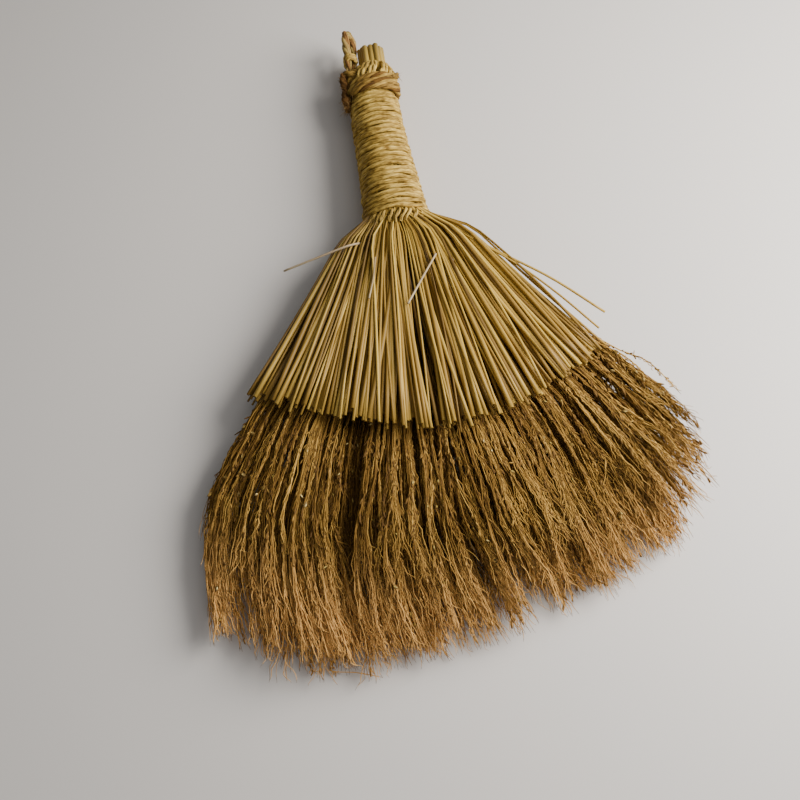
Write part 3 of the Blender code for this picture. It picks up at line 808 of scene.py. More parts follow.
def curled_ends(branches):
    """Routes, widths and tints of the frizz at the ends of a panicle's branches."""
    home = np.repeat(np.arange(branches_per_head), frizz_per_branch)
    size = (len(home), 1)
    leave = rng.uniform(0.66, 0.95, len(home))
    last = np.minimum(1.06, leave + rng.uniform(0.08, 0.16, len(home)))
    routes = side_strands(branches, home, leave, last, fibre_stations, frizz_spread, 1.0)
    along = np.linspace(0.0, 1.0, fibre_stations)[None, :]
    turns = rng.uniform(6.0, 16.0, size)
    phase = rng.uniform(0.0, 6.0, size)
    curl = between(*frizz_curls, size) * along
    routes[..., 0] += curl * np.sin(turns * along + phase)
    routes[..., 2] += curl * np.cos(turns * along * 1.2 + phase)
    routes[..., 1] += curl * np.cos(turns * along * 0.8 + phase)
    tints = np.clip(rng.normal(0.7, 0.2, len(home)), 0.0, 1.0)
    return routes, between(*frizz_widths, size) * mix(1.0, 0.6, along), tints


def twigs_and_husks(branches, branch_tints, stations):
    """The short twigs of a panicle's branches, and the seed husks that sit on some of them.

    Both are given as routes, widths and tints, but a husk's tint is drawn when it is laid.
    """
    home = np.repeat(np.arange(branches_per_head), twigs_per_branch)
    count = len(home)
    place = rng.uniform(0.34, 1.0, count)
    root = on_branches(branches, home, place[:, None])[:, 0]
    ahead = unit(on_branches(branches, home, place[:, None] + 0.03)[:, 0] - root)
    way = unit(ahead + rng.normal(0.0, 0.26, (count, 3)))
    long = between(*twig_lengths, (count, 1, 1))
    steps = np.linspace(0.0, 1.0, stations)[None, :, None]
    twigs = root[:, None] + way[:, None] * long * steps
    widths = np.repeat(between(*twig_widths, (count, 1)), stations, axis=1)
    tints = np.clip(branch_tints[home] + rng.normal(0.08, 0.22, count), 0.0, 1.0)

    seeds = rng.integers(0, count, husks_per_head)
    turned = unit(way[seeds] + rng.normal(0.0, 0.5, (husks_per_head, 3)))
    long = between(*husk_lengths, (husks_per_head, 1, 1))
    husks = root[seeds][:, None] + turned[:, None] * long * steps + (0.0, 0.0, husk_lift)
    husk_sizes = np.repeat(between(*husk_widths, (husks_per_head, 1)), stations, axis=1)
    return (twigs, widths, tints), (husks, husk_sizes)


def hold_in_brush(routes):
    """Keep strands between the floor and the brush's top, and draw in those past its sides and low end."""
    routes[..., 2] = np.clip(routes[..., 2], brush_floor, brush_top + brush_top_room)
    across = routes[..., 0] + origin[0]
    routes[..., 0] -= np.sign(across) * np.maximum(np.abs(across) - brush_side, 0.0) * squeeze_side_share
    routes[..., 1] += np.maximum(brush_low - origin[1] - routes[..., 1], 0.0) * squeeze_low_share


def make_panicle(number, row, index, fibre, branch, husk, material, husk_material):
    """The branches, fibres, twigs and husks of one panicle."""
    branches = panicle_branches(row, index)
    fibres = panicle_fibres(branches[0], branches[2])
    frizz = curled_ends(branches[0])
    twigs, husks = twigs_and_husks(branches[0], branches[2], husk["stations"])
    strands = ((branch, branches), (fibre, fibres), (fibre, frizz), (husk, twigs))
    parts = []
    for blank, (routes, widths, tints) in strands:
        hold_in_brush(routes)
        parts.append((blank, origin + routes, widths, tints, upward))
    hold_in_brush(husks[0])
    dress(lay(f"panicle_{number:02d}", parts, brush_share), material, "broomcorn", f"stalk_head_{number:02d}")
    seeds = [(husk, origin + husks[0], husks[1], rng.random(husks_per_head), upward)]
    dress(lay(f"husks_{number:02d}", seeds), husk_material, "broomcorn")


# The handle

def sweep(name, routes, radius, sides_level=2, radii=None):
    """A mesh of round cords along routes, joined in one piece."""
    deselect_all()
    data = bpy.data.curves.new(name, "CURVE")
    data.dimensions = "3D"
    data.bevel_depth = radius
    data.bevel_resolution = sides_level
    data.use_fill_caps = True
    for route in routes:
        line = data.splines.new("POLY")
        line.points.add(len(route) - 1)
        flat = np.concatenate((route, np.ones((len(route), 1))), axis=1)
        line.points.foreach_set("co", flat.reshape(-1))
        if radii is not None:
            line.points.foreach_set("radius", radii)
    piece = bpy.data.objects.new(name, data)
    bpy.context.scene.collection.objects.link(piece)
    piece.select_set(True)
    bpy.context.view_layer.objects.active = piece
    bpy.ops.object.convert(target="MESH")
    piece = bpy.context.object
    piece.data.name = name
    for face in piece.data.polygons:
        face.use_smooth = True
    return piece


def carried_frame(route):
    """Side and rise along a route, carried on from point to point without a twist of their own."""
    ahead = unit(np.gradient(route, axis=0))
    side = np.empty_like(ahead)
    last = np.cross(ahead[0], (0.05, 0.3, 1.0))
    for index, forward in enumerate(ahead):
        last = last - forward * np.dot(last, forward)
        last = last / np.linalg.norm(last)
        side[index] = last
    return side, np.cross(side, ahead)


def smooth_route(points, steps):
    """An even curve through chosen points, with this many steps between two of them."""
    points = np.asarray(points, float)
    before = np.vstack((2.0 * points[0] - points[1], points[:-1]))
    after = np.vstack((points[1:], 2.0 * points[-1] - points[-2]))
    slope = (after - before) / 2.0
    share = np.linspace(0.0, 1.0, steps, endpoint=False)[None, :, None]
    square, cube = share ** 2, share ** 3
    curve = ((2.0 * cube - 3.0 * square + 1.0) * points[:-1, None]
             + (cube - 2.0 * square + share) * slope[:-1, None]
             + (3.0 * square - 2.0 * cube) * points[1:, None]
             + (cube - square) * slope[1:, None])
    return np.vstack((curve.reshape(-1, 3), points[-1:]))


def twist(route, plies, lay_radius, pitch, wobble=0.0, first_turn=0.0):
    """Routes of a cord's plies, laid round its centre route."""
    side, rise = carried_frame(route)
    gone = np.concatenate(([0.0], np.linalg.norm(np.diff(route, axis=0), axis=1).cumsum()))
    turns = first_turn + gone / pitch * 2.0 * math.pi
    turns = turns + wobble * np.sin(gone / pitch * 0.77) * math.pi
    routes = []
    for ply in range(plies):
        angle = turns + ply * 2.0 * math.pi / plies
        routes.append(route + lay_radius * (np.cos(angle)[:, None] * side + np.sin(angle)[:, None] * rise))
    return routes


def route_length(route):
    return float(np.linalg.norm(np.diff(route, axis=0), axis=1).sum())


def winding_outer_radius(y):
    """Outer radius of the winding, which swells towards the neck."""
    return np.interp(y, winding_y, winding_radii)


def winding_route():
    """The winding's centreline, down the handle, with the small wander of cord laid by hand."""
    share = np.linspace(0.0, 1.0, winding_turns * winding_points + 1)
    y = mix(winding_top_y - cord_radius, winding_low_y + cord_radius, share)
    angle = share * winding_turns * 2.0 * math.pi
    waver = np.sin(angle * 2.63 + 1.7 * np.sin(angle * 0.33))
    radius = winding_outer_radius(y) - cord_radius + winding_waver * waver
    wander = (np.sin(angle * 1.37 + 2.0 * np.sin(angle * 0.21))
              + 0.6 * np.sin(angle * 5.3 + 1.5 * np.sin(angle * 0.4)))
    y = y + winding_wander * wander * np.clip(share * 9.0, 0.0, 1.0)
    return origin + round_handle(radius, angle, y)


def make_winding():
    """The pale cord wound down the grip, laid from two plies."""
    route = winding_route()
    length = route_length(route)
    plies = twist(route, 2, winding_ply_out, winding_ply_pitch, 0.7)
    for number, ply in enumerate(plies):
        dark, light = ((pale_dark, pale_light), (gold_dark, gold_light))[number]
        finish = cord_material(f"winding ply {number + 1}", dark, light, length, 0.72, 0.9)
        dress(sweep(f"winding_ply_{number + 1}", [ply], winding_ply), finish, "pale_cord", "handle_winding")


def make_handle_straws(blank):
    """The straws' upper ends round the stems, under the winding."""
    share = np.linspace(0.0, 1.0, blank["stations"])[None, :]
    angle = (np.arange(handle_straws)[:, None] + 0.5) / handle_straws * 2.0 * math.pi
    y = mix(6.0 * MM, handle_straws_top_y, share)
    width = 2.0 * math.pi * (winding_outer_radius(y) - 4.6 * MM) / handle_straws
    radius = winding_outer_radius(y) - 3.4 * MM - width / 2.0
    angle = angle + rng.normal(0.0, 0.03, (handle_straws, 1)) * share
    routes = origin + round_handle(radius, angle, y)
    tints = np.clip(rng.normal(0.4, 0.2, handle_straws), 0.0, 1.0)
    piece = lay("handle_straw_ends", [(blank, routes, width, tints, upward)])
    dress(piece, straw_finish, "cut_straw", "handle_straws")


def make_stems(blank):
    """The stalks' stems, whose hollow cut tops stand out of the handle."""
    number = 0
    share = np.linspace(0.0, 1.0, blank["stations"])[:, None]
    for row, count in enumerate(stalk_rows):
        for index in range(count):
            number += 1
            name = f"stalk_stem_{number:02d}"
            low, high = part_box(name)
            middle = (np.array(low) + np.array(high)) / 2.0
            start = np.array((middle[0], low.y, high.z - 1.6 * MM))
            top = mix(high.y, origin[1] + stalk_top_y, 0.8) + (len(stalk_rows) - 1 - row) * stem_step
            end = np.array((middle[0], top, low.z + 1.6 * MM))
            lean = rng.normal(0.0, 0.2 * MM, 3) * (1.0, 0.0, 1.0)
            routes = (start + (end - start) * share + lean * share ** 4)[None]
            width = np.full((1, blank["stations"]), rng.uniform(3.5, 4.0) * MM)
            tint = np.clip(rng.normal(0.55, 0.22, 1), 0.0, 1.0)
            piece = lay(f"stem_{number:02d}", [(blank, routes, width, tint, upward)])
            dress(piece, stem_finish, "stem_straw", name)


def make_ties():
    """Rings of thin cord tied round the stems inside the handle."""
    for place, y in tie_places.items():
        angle = np.linspace(0.0, 2.0 * math.pi, 73)
        route = origin + round_handle(tie_radius, angle, y)
        piece = sweep(f"tie_{place}", twist(route, 2, tie_cord * 0.22, 6.0 * MM), tie_cord * 0.27, 1)
        dress(piece, short_pale_finish, "pale_cord", f"stalk_tie_{place}")


def hairs(name, routes, count, reach, width, finish, slot, blank, body="broom"):
    """Fine hairs that stand out of ropes: their routes, how many, and how far they reach."""
    stations = blank["stations"]
    share = np.linspace(0.0, 1.0, stations)[None, :, None]
    pool = np.concatenate(routes)
    slopes = np.concatenate([unit(np.gradient(route, axis=0)) for route in routes])
    chosen = rng.integers(0, len(pool), count)
    root = pool[chosen]
    along = slopes[chosen]
    out = unit(np.cross(along, unit(rng.normal(0.0, 1.0, (count, 3)))))
    way = unit(along * rng.uniform(-1.0, 1.0, (count, 1)) + out * rng.uniform(0.25, 1.0, (count, 1)))
    curl = unit(rng.normal(0.0, 1.0, (count, 3))) * rng.uniform(0.1, 0.5, (count, 1))
    size = rng.uniform(0.35, 1.0, (count, 1, 1)) * reach
    points = root[:, None] + size * (way[:, None] * share + curl[:, None] * share ** 2)
    points[..., 2] -= size[..., 0] * 0.4 * share[..., 0] ** 2
    points[..., 2] = np.maximum(points[..., 2], 0.4 * MM)
    widths = rng.uniform(0.6, 1.0, (count, 1)) * width * mix(1.0, 0.5, share[..., 0])
    tints = rng.random(count)
    return dress(lay(name, [(blank, points, widths, tints, (0.1, 0.2, 1.0))]), finish, slot, body=body)


def press_to_floor(piece):
    """Rope that lies on the floor is pressed flat there."""
    for vertex in piece.data.vertices:
        vertex.co.z = max(vertex.co.z, 0.1 * MM)


def make_collar(fibre):
    """The loosely laid brown and tan rope over the winding's top, whose cut end stands out at the right."""
    share = np.linspace(0.0, 1.0, 200)
    angle = collar_end_angle + (1.0 - share) * collar_turns * 2.0 * math.pi
    y = mix(collar_start_y, collar_end_y, share) + 0.5 * MM * np.sin(angle * 1.3)
    radius = collar_radius + 0.3 * MM * np.sin(angle * 2.1)
    turns = origin + round_handle(radius, angle, y)
    gone = np.linspace(0.0, 1.0, 24)[1:, None] * collar_end_length
    ahead = np.array((math.sin(collar_end_angle), 0.0, -math.cos(collar_end_angle)))
    lift = (gone / collar_end_length) ** 2 * (0.0, 1.5 * MM, 1.5 * MM)
    route = np.vstack((turns, turns[-1] + gone * ahead + lift))
    plies = twist(route, 4, collar_rope * 0.24, 26.0 * MM, 0.4)
    length = route_length(route)
    for number, ply in enumerate(plies):
        dark, light = ((rope_dark, rope_tan), (tan_dark, tan_light), (rope_dark, rope_brown),
                       (tan_dark, rope_tan))[number]
        finish = cord_material(f"collar ply {number + 1}", dark, light, length, 0.85, 0.8)
        piece = sweep(f"collar_ply_{number + 1}", [ply], collar_rope * 0.26)
        press_to_floor(piece)
        dress(piece, finish, "brown_rope", "collar_rope")
    hairs("collar_hairs", plies, 420, 3.6 * MM, 0.28 * MM, hair_finish, "brown_rope", fibre)
    ends = [ply[-26:] for ply in plies]
    hairs("collar_end_hairs", ends, 60, 4.5 * MM, 0.3 * MM, hair_finish, "brown_rope", fibre)


def stitch_plies(routes, cord):
    """Two plies for each stitch, each pair with a turn of its own."""
    return [ply for route in routes
            for ply in twist(route, 2, cord * 0.15, stitch_ply_pitch, 0.0, rng.uniform(0.0, 6.0))]


def beside_route(places, steps):
    """A route by the handle's top through places given in millimetres, each from the handle's axis."""
    return smooth_route([beside_stems(x * MM, y * MM, z * MM) for x, y, z in places], steps)


def make_shoulder_stitches():
    """Slanted stitches of pale cord over the handle's shoulder, from the collar to the stems."""
    step = (shoulder_angles[1] - shoulder_angles[0]) / (shoulder_stitches - 1)
    ring = ((12.8, 111.6, -0.5), (15.2, 114.8, -0.2), (15.0, 118.0, 0.2), (13.2, 122.0, 0.7),
            (11.2, 126.2, 1.15), (9.6, 127.8, 1.35), (8.6, 126.0, 1.4))
    routes = []
    for index in range(shoulder_stitches):
        angle = shoulder_angles[0] + step * index + rng.normal(0.0, 0.03)
        lean = -step * rng.uniform(0.5, 0.9)
        points = [round_handle(radius * MM, angle + lean * place, y * MM) for radius, y, place in ring]
        routes.append(origin + smooth_route(points, 5))
    routes.append(beside_route(((-9.0, 112.0, 4.5), (-10.0, 117.0, 5.2), (-10.1, 123.0, 4.4),
                                (-9.3, 127.6, 3.6), (-7.2, 128.8, 2.6)), 5))
    piece = sweep("shoulder_stitches", stitch_plies(routes, shoulder_cord), shoulder_cord * 0.38)
    dress(piece, short_pale_finish, "pale_cord", "top_stitching")


def make_neck_stitches():
    """A round of slanted stitches where the straws come out of the winding."""
    step = 2.0 * math.pi / neck_stitches
    routes = []
    for index in range(neck_stitches):
        angle = step * (index + rng.uniform(-0.25, 0.25))
        reach = rng.uniform(0.75, 1.25)
        slant = rng.uniform(0.6, 1.5)
        ring = ((17.6, 5.0, -0.45 * slant), (19.6, 3.4, -0.3 * slant), (20.0, 0.8, 0.0),
                (20.0, -1.6 * reach, 0.35 * slant), (18.0, -3.6 * reach, 0.5 * slant))
        points = [round_handle(radius * MM, angle + step * place, y * MM) for radius, y, place in ring]
        routes.append(origin + smooth_route(points, 5))
    piece = sweep("neck_stitches", stitch_plies(routes, neck_cord), neck_cord * 0.36)
    dress(piece, short_gold_finish, "pale_cord", "neck_stitching")


def beside_stems(x, y, z):
    """A place by the handle's top, given from its axis."""
    return origin + np.array((x, y, float(axis_height(y)) + z))


def make_loop(fibre):
    """The hanging loop: a tight hairpin of rope whose round feet stand just clear of the knot."""
    pivot = beside_stems(loop_x, loop_pivot_y, loop_rise)
    arc = np.linspace(0.0, math.pi, 13)
    right = [(loop_foot, -2.3 * MM), (loop_foot, 2.0 * MM), (mix(loop_foot, loop_wide, 0.15), 8.0 * MM),
             (mix(loop_foot, loop_wide, 0.5), 13.0 * MM), (loop_wide, 19.0 * MM)]
    flat = right + [(loop_wide * math.cos(a), loop_arc_y + loop_wide * math.sin(a)) for a in arc]
    flat += [(-x, y) for x, y in reversed(right)]
    turned = [pivot + np.array((x * math.cos(loop_turn) + loop_lean * max(y, 0.0) / loop_arc_y, y,
                                -x * math.sin(loop_turn))) for x, y in flat]
    route = smooth_route(turned, 8)
    rounding = np.ones(len(route))
    feet = np.linspace(0.0, 1.0, 9)
    rounding[:9] = np.sqrt(1.0 - (1.0 - feet) ** 2) * 0.9 + 0.1
    rounding[-9:] = rounding[:9][::-1]
    rounding *= 1.0 + 0.07 * np.sin(np.linspace(0.0, 31.0, len(route)))
    rise = (route[:, 1] - pivot[1]) / loop_arc_y
    rounding *= mix(0.8, 1.08, ease(rise * 1.4))
    plies = twist(route, 3, loop_rope * 0.2, 24.0 * MM, 0.3)
    for number, ply in enumerate(plies):
        dark, light = ((rope_dark, (0.34, 0.17, 0.05)), (tan_dark, (0.38, 0.29, 0.09)),
                       (rope_brown, (0.44, 0.31, 0.10)))[number]
        finish = cord_material(f"loop ply {number + 1}", dark, light, route_length(ply), 0.85, 0.8)
        piece = sweep(f"loop_ply_{number + 1}", [ply], loop_rope * 0.31, radii=rounding)
        dress(piece, finish, "loop_fibre", "hanging_loop", body="hanging_loop")
    angle = np.linspace(0.4, 3.0 * 2.0 * math.pi, 100)
    height = mix(5.0 * MM, 10.0 * MM, angle / angle[-1]) + 0.3 * MM * np.sin(angle * 1.4)
    wraps = pivot + np.stack((0.4 * MM + 3.7 * MM * np.cos(angle), height, 5.2 * MM * np.sin(angle)), axis=-1)
    piece = sweep("loop_whipping", twist(wraps, 2, 0.45 * MM, 8.0 * MM, 0.3), 0.85 * MM)
    dress(piece, short_pale_finish, "pale_cord", body="hanging_loop")
    clear = [ply[12:-12] for ply in plies]
    hairs("loop_hairs", clear, 90, 2.6 * MM, 0.22 * MM, hair_finish, "loop_fibre", fibre, "hanging_loop")


def knot_core():
    """The lump inside the knot's wraps."""
    deselect_all()
    centre = beside_stems(loop_x, (knot_floor_y + knot_top_y) / 2.0, loop_rise)
    bpy.ops.mesh.primitive_uv_sphere_add(segments=24, ring_count=14, radius=1.0, location=centre)
    piece = bpy.context.object
    piece.name = "knot_core"
    bpy.ops.object.mode_set(mode="EDIT")
    bpy.ops.mesh.select_all(action="SELECT")
    bpy.ops.transform.resize(value=(3.6 * MM, 5.6 * MM, 6.0 * MM), center_override=centre)
    bpy.ops.transform.vertex_random(offset=0.35 * MM, uniform=0.4, normal=0.6, seed=5)
    bpy.ops.object.mode_set(mode="OBJECT")
    smoother = piece.modifiers.new("smooth", "SUBSURF")
    smoother.levels = 1
    smoother.render_levels = 1
    bpy.ops.object.modifier_apply(modifier=smoother.name)
    bpy.ops.object.shade_smooth()
    bpy.ops.object.transform_apply(location=True, rotation=True, scale=True)
    return dress(piece, dark_rope_finish, "brown_rope", "loop_knot")


def make_knot(fibre):
    """The lumpy knot below the loop's feet: wraps over a core, with two strands across them."""
    knot_core()
    turns = 3.0
    angle = np.linspace(0.0, turns * 2.0 * math.pi, 130)
    y = mix(knot_floor_y + 1.9 * MM, knot_top_y - 1.9 * MM, angle / angle[-1])
    y = y + 0.5 * MM * np.sin(angle * 1.7)
    across = (knot_half_width - 1.9 * MM) * np.cos(angle)
    deep = (knot_half_depth - 2.0 * MM) * np.sin(angle)
    wraps = origin + np.stack((loop_x + across, y, axis_height(y) + loop_rise + deep), axis=-1)
    tied = beside_route(((-10.4, 113.0, 3.0), (-11.6, 113.8, 8.0), (-15.4, 117.0, 8.8),
                         (-18.4, 120.2, 7.4), (-19.0, 121.4, 3.0)), 10)
    plies = twist(wraps, 3, 0.95 * MM, 15.0 * MM, 0.3) + twist(tied, 3, 0.85 * MM, 12.0 * MM, 0.2)
    filled = beside_route(((-16.6, 121.0, 4.0), (-13.4, 121.6, 6.6), (-10.6, 120.6, 7.0),
                           (-9.4, 117.6, 7.6), (-9.6, 114.6, 6.6)), 10)
    plies += twist(filled, 3, 0.8 * MM, 11.0 * MM, 0.2)
    dress(sweep("knot_wraps", plies, 1.12 * MM), rope_finish, "brown_rope", "loop_knot")
    hairs("knot_hairs", plies, 130, 2.8 * MM, 0.26 * MM, hair_finish, "brown_rope", fibre)


def make_tail(fibre):
    """The loop's free end: thick, lumpy and frayed, close beside the collar and the winding."""
    route = beside_route(((-17.8, 119.6, 3.4), (-19.8, 119.4, 5.4), (-21.2, 117.2, 5.8), (-20.6, 114.0, 5.0),
                          (-20.0, 109.6, 4.4), (-21.0, 105.0, 4.2), (-20.9, 100.5, 3.4), (-20.3, 96.5, 2.8),
                          (-20.0, 92.6, 2.4)), 12)
    share = np.linspace(0.0, 1.0, len(route))
    lumps = 1.08 + 0.24 * np.sin(share * 19.0) + 0.12 * np.sin(share * 43.0 + 1.0)
    lumps *= mix(1.0, 0.72, share ** 2)
    plies = twist(route, 4, tail_rope * 0.235, 12.0 * MM, 0.5)
    piece = sweep("tail", plies, tail_rope * 0.27, radii=lumps)
    dress(piece, dark_rope_finish, "brown_rope", "loop_tail")
    hairs("tail_hairs", plies, 330, 4.2 * MM, 0.3 * MM, hair_finish, "brown_rope", fibre)
    ends = [ply[-16:] for ply in plies]
    hairs("tail_end_hairs", ends, 110, 6.5 * MM, 0.34 * MM, hair_finish, "brown_rope", fibre)


def bent_routes(bends, stations):
    """Routes of even stations through chosen points, given in millimetres from the neck."""
    routes = []
    for bend in bends:
        curve = smooth_route(bend, 12)
        gone = np.concatenate(([0.0], np.linalg.norm(np.diff(curve, axis=0), axis=1).cumsum()))
        even = np.linspace(0.0, gone[-1], stations)
        routes.append(np.stack([np.interp(even, gone, curve[:, axis]) for axis in range(3)], axis=-1))
    return origin + np.array(routes) * MM


def even_widths(sizes, stations):
    """Widths that stay the same along each strand, given in millimetres."""
    return np.repeat(np.array(sizes)[:, None] * MM, stations, axis=1)


def make_strays(straw):
    """Loose straws: two that stand away at the right, and pale slivers, one at the left and two on top."""
    bends = (((28.0, -8.0, 33.0), (51.5, -25.7, 29.0), (84.0, -49.0, 26.0), (112.9, -72.9, 20.0)),
             ((36.0, -16.0, 33.0), (63.8, -37.1, 28.5), (86.0, -59.0, 25.0), (107.2, -82.8, 20.0)))
    routes = bent_routes(bends, straw_stations)
    widths = even_widths((1.5, 1.3), straw_stations)
    piece = lay("stray_straws", [(straw, routes, widths, np.array((0.8, 0.7)), upward)])
    dress(piece, straw_finish, "cut_straw")
    bends = (((-17.0, -13.0, 28.0), (-30.0, -18.6, 37.0), (-52.0, -20.8, 30.0), (-71.3, -20.6, 20.0)),
             ((17.7, -34.2, 42.3), (8.0, -48.5, 42.0), (-2.6, -64.2, 41.2)),
             ((-17.3, -31.7, 41.8), (-20.0, -45.0, 41.6), (-23.9, -57.5, 40.4)))
    routes = bent_routes(bends, straw_stations)
    widths = even_widths((1.3, 1.2, 1.0), straw_stations)
    piece = lay("pale_slivers", [(straw, routes, widths, np.array((1.0, 0.95, 0.1)), upward)])
    dress(piece, sliver_finish, "cut_straw")


def make_wisps(branch, fibre, husk):
    """Loose ends of panicle beyond the brush: at its right side and below its left corner."""
    bends = (((84.0, -70.0, 22.0), (98.8, -83.0, 20.0), (117.4, -96.6, 16.0), (133.0, -105.4, 14.0),
              (147.9, -126.1, 10.0)),
             ((88.0, -80.0, 20.0), (104.0, -91.0, 18.0), (120.3, -101.0, 15.0), (133.2, -119.0, 12.0),
              (145.6, -137.5, 8.0)),
             ((88.0, -82.0, 21.0), (106.0, -96.0, 18.0), (121.0, -112.0, 14.0), (136.0, -129.0, 9.0)),
             ((-66.0, -215.0, 12.0), (-72.9, -238.0, 8.0), (-79.0, -249.0, 4.0), (-75.2, -254.6, 3.0)),
             ((-58.0, -220.0, 10.0), (-62.0, -243.0, 6.0), (-69.0, -252.0, 3.0), (-63.0, -256.0, 3.0)))
    routes = bent_routes(bends, branch_stations)
    count = len(routes)
    share = np.linspace(0.0, 1.0, branch_stations)
    widths = even_widths((1.1, 1.0, 0.9, 0.8, 0.7), branch_stations) * mix(1.0, 0.5, share)
    home = np.repeat(np.arange(count), 16)
    leave = rng.uniform(0.25, 0.9, len(home))
    last = leave + rng.uniform(0.06, 0.2, len(home))
    local = routes - origin
    sides = side_strands(local, home, leave, last, fibre_stations, 7.0 * MM, 0.5)
    sides[..., 0] += wave(len(home), fibre_stations, (1.7, 3.9), 0.3 * MM, 1.5 * MM)
    sides[..., 2] = np.maximum(sides[..., 2], brush_floor)
    side_widths = np.full((len(home), fibre_stations), 0.5 * MM)
    knots = np.repeat(np.arange(count), 22)
    place = rng.uniform(0.2, 0.97, len(knots))
    root = on_branches(local, knots, place[:, None])[:, 0]
    way = unit(rng.normal(0.0, 1.0, (len(knots), 3)) + (0.6, -1.0, 0.0))
    steps = np.linspace(0.0, 1.0, husk["stations"])[None, :, None]
    seeds = root[:, None] + way[:, None] * rng.uniform(1.4, 3.0, (len(knots), 1, 1)) * MM * steps
    seed_widths = np.full((len(knots), husk["stations"]), 1.1 * MM)
    parts = [(branch, routes, widths, np.full(count, 1.0), upward),
             (fibre, origin + sides, side_widths, rng.uniform(0.7, 1.0, len(home)), upward),
             (husk, origin + seeds, seed_widths, rng.uniform(0.7, 1.0, len(knots)), upward)]
    dress(lay("wisps", parts, brush_share), brush_finish, "broomcorn")


pale_dark, pale_light = (0.17, 0.086, 0.012), (0.71, 0.49, 0.115)
gold_dark, gold_light = (0.11, 0.055, 0.007), (0.54, 0.35, 0.072)
rope_dark, rope_brown, rope_tan = (0.05, 0.021, 0.004), (0.17, 0.082, 0.015), (0.35, 0.21, 0.045)
tan_dark, tan_light = (0.14, 0.073, 0.013), (0.49, 0.32, 0.075)

straw_finish = strand_material("cut straw", (0.062, 0.03, 0.005), (0.265, 0.154, 0.023), (0.63, 0.43, 0.09),
                               (0.44, 0.26, 0.055), 0.25, 45.0, 0.3, 0.42, 0.25)
sliver_finish = strand_material("dry sliver", (0.26, 0.17, 0.08), (0.38, 0.28, 0.15), (0.48, 0.36, 0.22),
                                (0.66, 0.53, 0.33), 0.6, 90.0, 0.3, 0.6, 0.1)
brush_finish = strand_material("broomcorn", (0.042, 0.02, 0.004), (0.225, 0.117, 0.024), (0.60, 0.36, 0.085),
                               (0.76, 0.42, 0.13), 0.75, 38.0, 0.3, 0.7, 0.08)
husk_finish = strand_material("husk", (0.20, 0.12, 0.02), (0.46, 0.33, 0.08), (0.76, 0.60, 0.26),
                              (0.6, 0.4, 0.14), 0.2, 200.0, 0.3, 0.7, 0.05)
stem_finish = strand_material("stem straw", (0.18, 0.10, 0.015), (0.44, 0.29, 0.06), (0.77, 0.58, 0.19),
                              (0.60, 0.40, 0.08), 0.3, 60.0, 0.4, 0.42, 0.25)
hair_finish = strand_material("rope hair", (0.06, 0.028, 0.008), (0.24, 0.13, 0.035), (0.50, 0.32, 0.12),
                              (0.40, 0.25, 0.09), 0.4, 120.0, 0.3, 0.8, 0.1)
short_pale_finish = cord_material("stitch cord", pale_dark, pale_light, 14.0 * MM, 0.75, 0.7)
short_gold_finish = cord_material("neck cord", (0.10, 0.05, 0.008), (0.60, 0.40, 0.095), 14.0 * MM, 0.75, 0.7)
rope_finish = cord_material("knot rope", rope_dark, rope_tan, 100.0 * MM, 0.85, 0.8)
dark_rope_finish = cord_material("tail rope", (0.03, 0.012, 0.003), (0.17, 0.08, 0.02), 40.0 * MM, 0.9, 0.9)


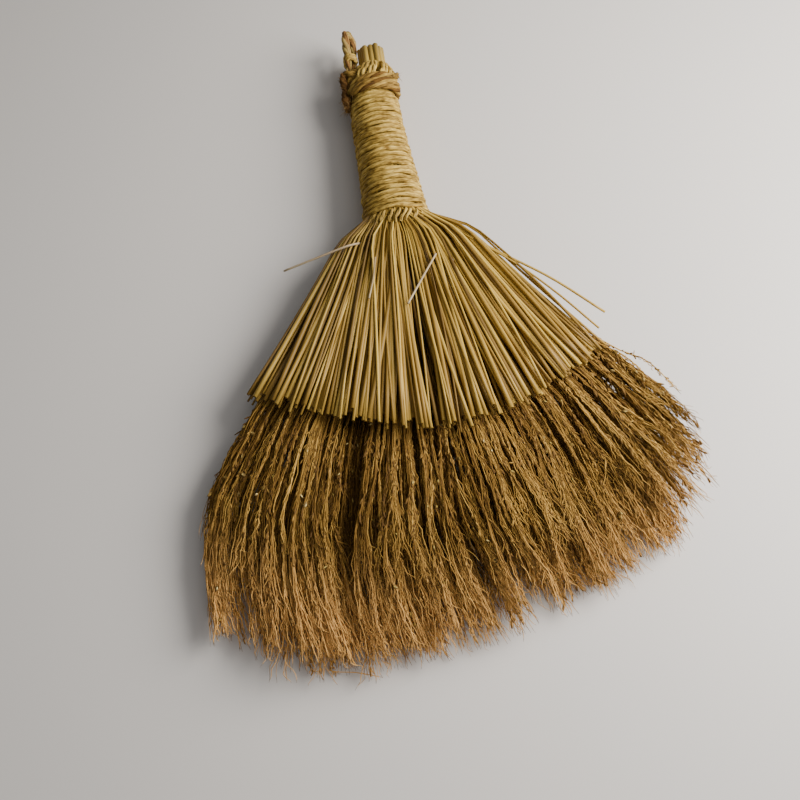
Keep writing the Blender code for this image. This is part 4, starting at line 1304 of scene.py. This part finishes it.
fibre = fibre_blank(fibre_stations)
branch = fibre_blank(branch_stations)
straw = straw_blank(straw_stations, 8)
stem = straw_blank(stem_stations, 12)
husk = husk_blank()
hair = fibre_blank(hair_stations)
make_skirt(straw, straw_finish)
number = 0
for row, count in enumerate(stalk_rows):
    for index in range(count):
        number += 1
        make_panicle(number, row, index, fibre, branch, husk, brush_finish, husk_finish)
make_handle_straws(straw)
make_stems(stem)
make_ties()
make_winding()
make_collar(hair)
make_shoulder_stitches()
make_neck_stitches()
make_loop(hair)
make_knot(hair)
make_tail(hair)
make_strays(straw)
make_wisps(branch, fibre, husk)


# Floor, light and camera
camera_place = np.array((-43.28, -340.32, 534.38)) * MM
camera_dip = 66.0
camera_turn = -7.459


def make_floor():
    deselect_all()
    bpy.ops.mesh.primitive_plane_add(size=6.0, location=(0.0, 0.0, 0.0))
    floor = bpy.context.object
    floor.name = "floor"
    made = bpy.data.materials.new("floor")
    made.use_nodes = True
    shader = made.node_tree.nodes["Principled BSDF"]
    shader.inputs["Base Color"].default_value = (0.645, 0.61, 0.57, 1.0)
    shader.inputs["Roughness"].default_value = 0.55
    floor.data.materials.append(made)


def make_light(name, place, target, size, watts, colour):
    data = bpy.data.lights.new(name, "AREA")
    data.shape = "DISK"
    data.size = size
    data.energy = watts
    data.color = colour
    light = bpy.data.objects.new(name, data)
    bpy.context.scene.collection.objects.link(light)
    light.location = place
    aim(light, target)


def aim(thing, target):
    """Turn a light or camera so that it looks at a place."""
    away = np.asarray(thing.location) - np.asarray(target)
    thing.rotation_euler = (math.atan2(math.hypot(away[0], away[1]), away[2]), 0.0,
                            math.atan2(away[0], -away[1]))


def make_camera():
    """The camera of the photograph, as fitted to the broom's outline."""
    data = bpy.data.cameras.new("camera")
    data.lens = 45.0
    data.sensor_width = 36.0
    camera = bpy.data.objects.new("camera", data)
    bpy.context.scene.collection.objects.link(camera)
    camera.location = origin + camera_place
    camera.rotation_euler = (math.radians(90.0 - camera_dip), 0.0, math.radians(camera_turn))
    bpy.context.scene.camera = camera


make_floor()
make_light("window", origin + np.array((0.55, -0.04, 0.42)), origin, 0.56, 12.3, (1.0, 0.975, 0.94))
make_light("fill", origin + np.array((0.35, -0.35, 0.9)), origin, 1.4, 4.0, (0.98, 0.98, 1.0))
world = bpy.data.worlds.new("world")
world.use_nodes = True
world.node_tree.nodes["Background"].inputs["Color"].default_value = (0.93, 0.94, 0.95, 1.0)
world.node_tree.nodes["Background"].inputs["Strength"].default_value = 0.15
bpy.context.scene.world = world
make_camera()
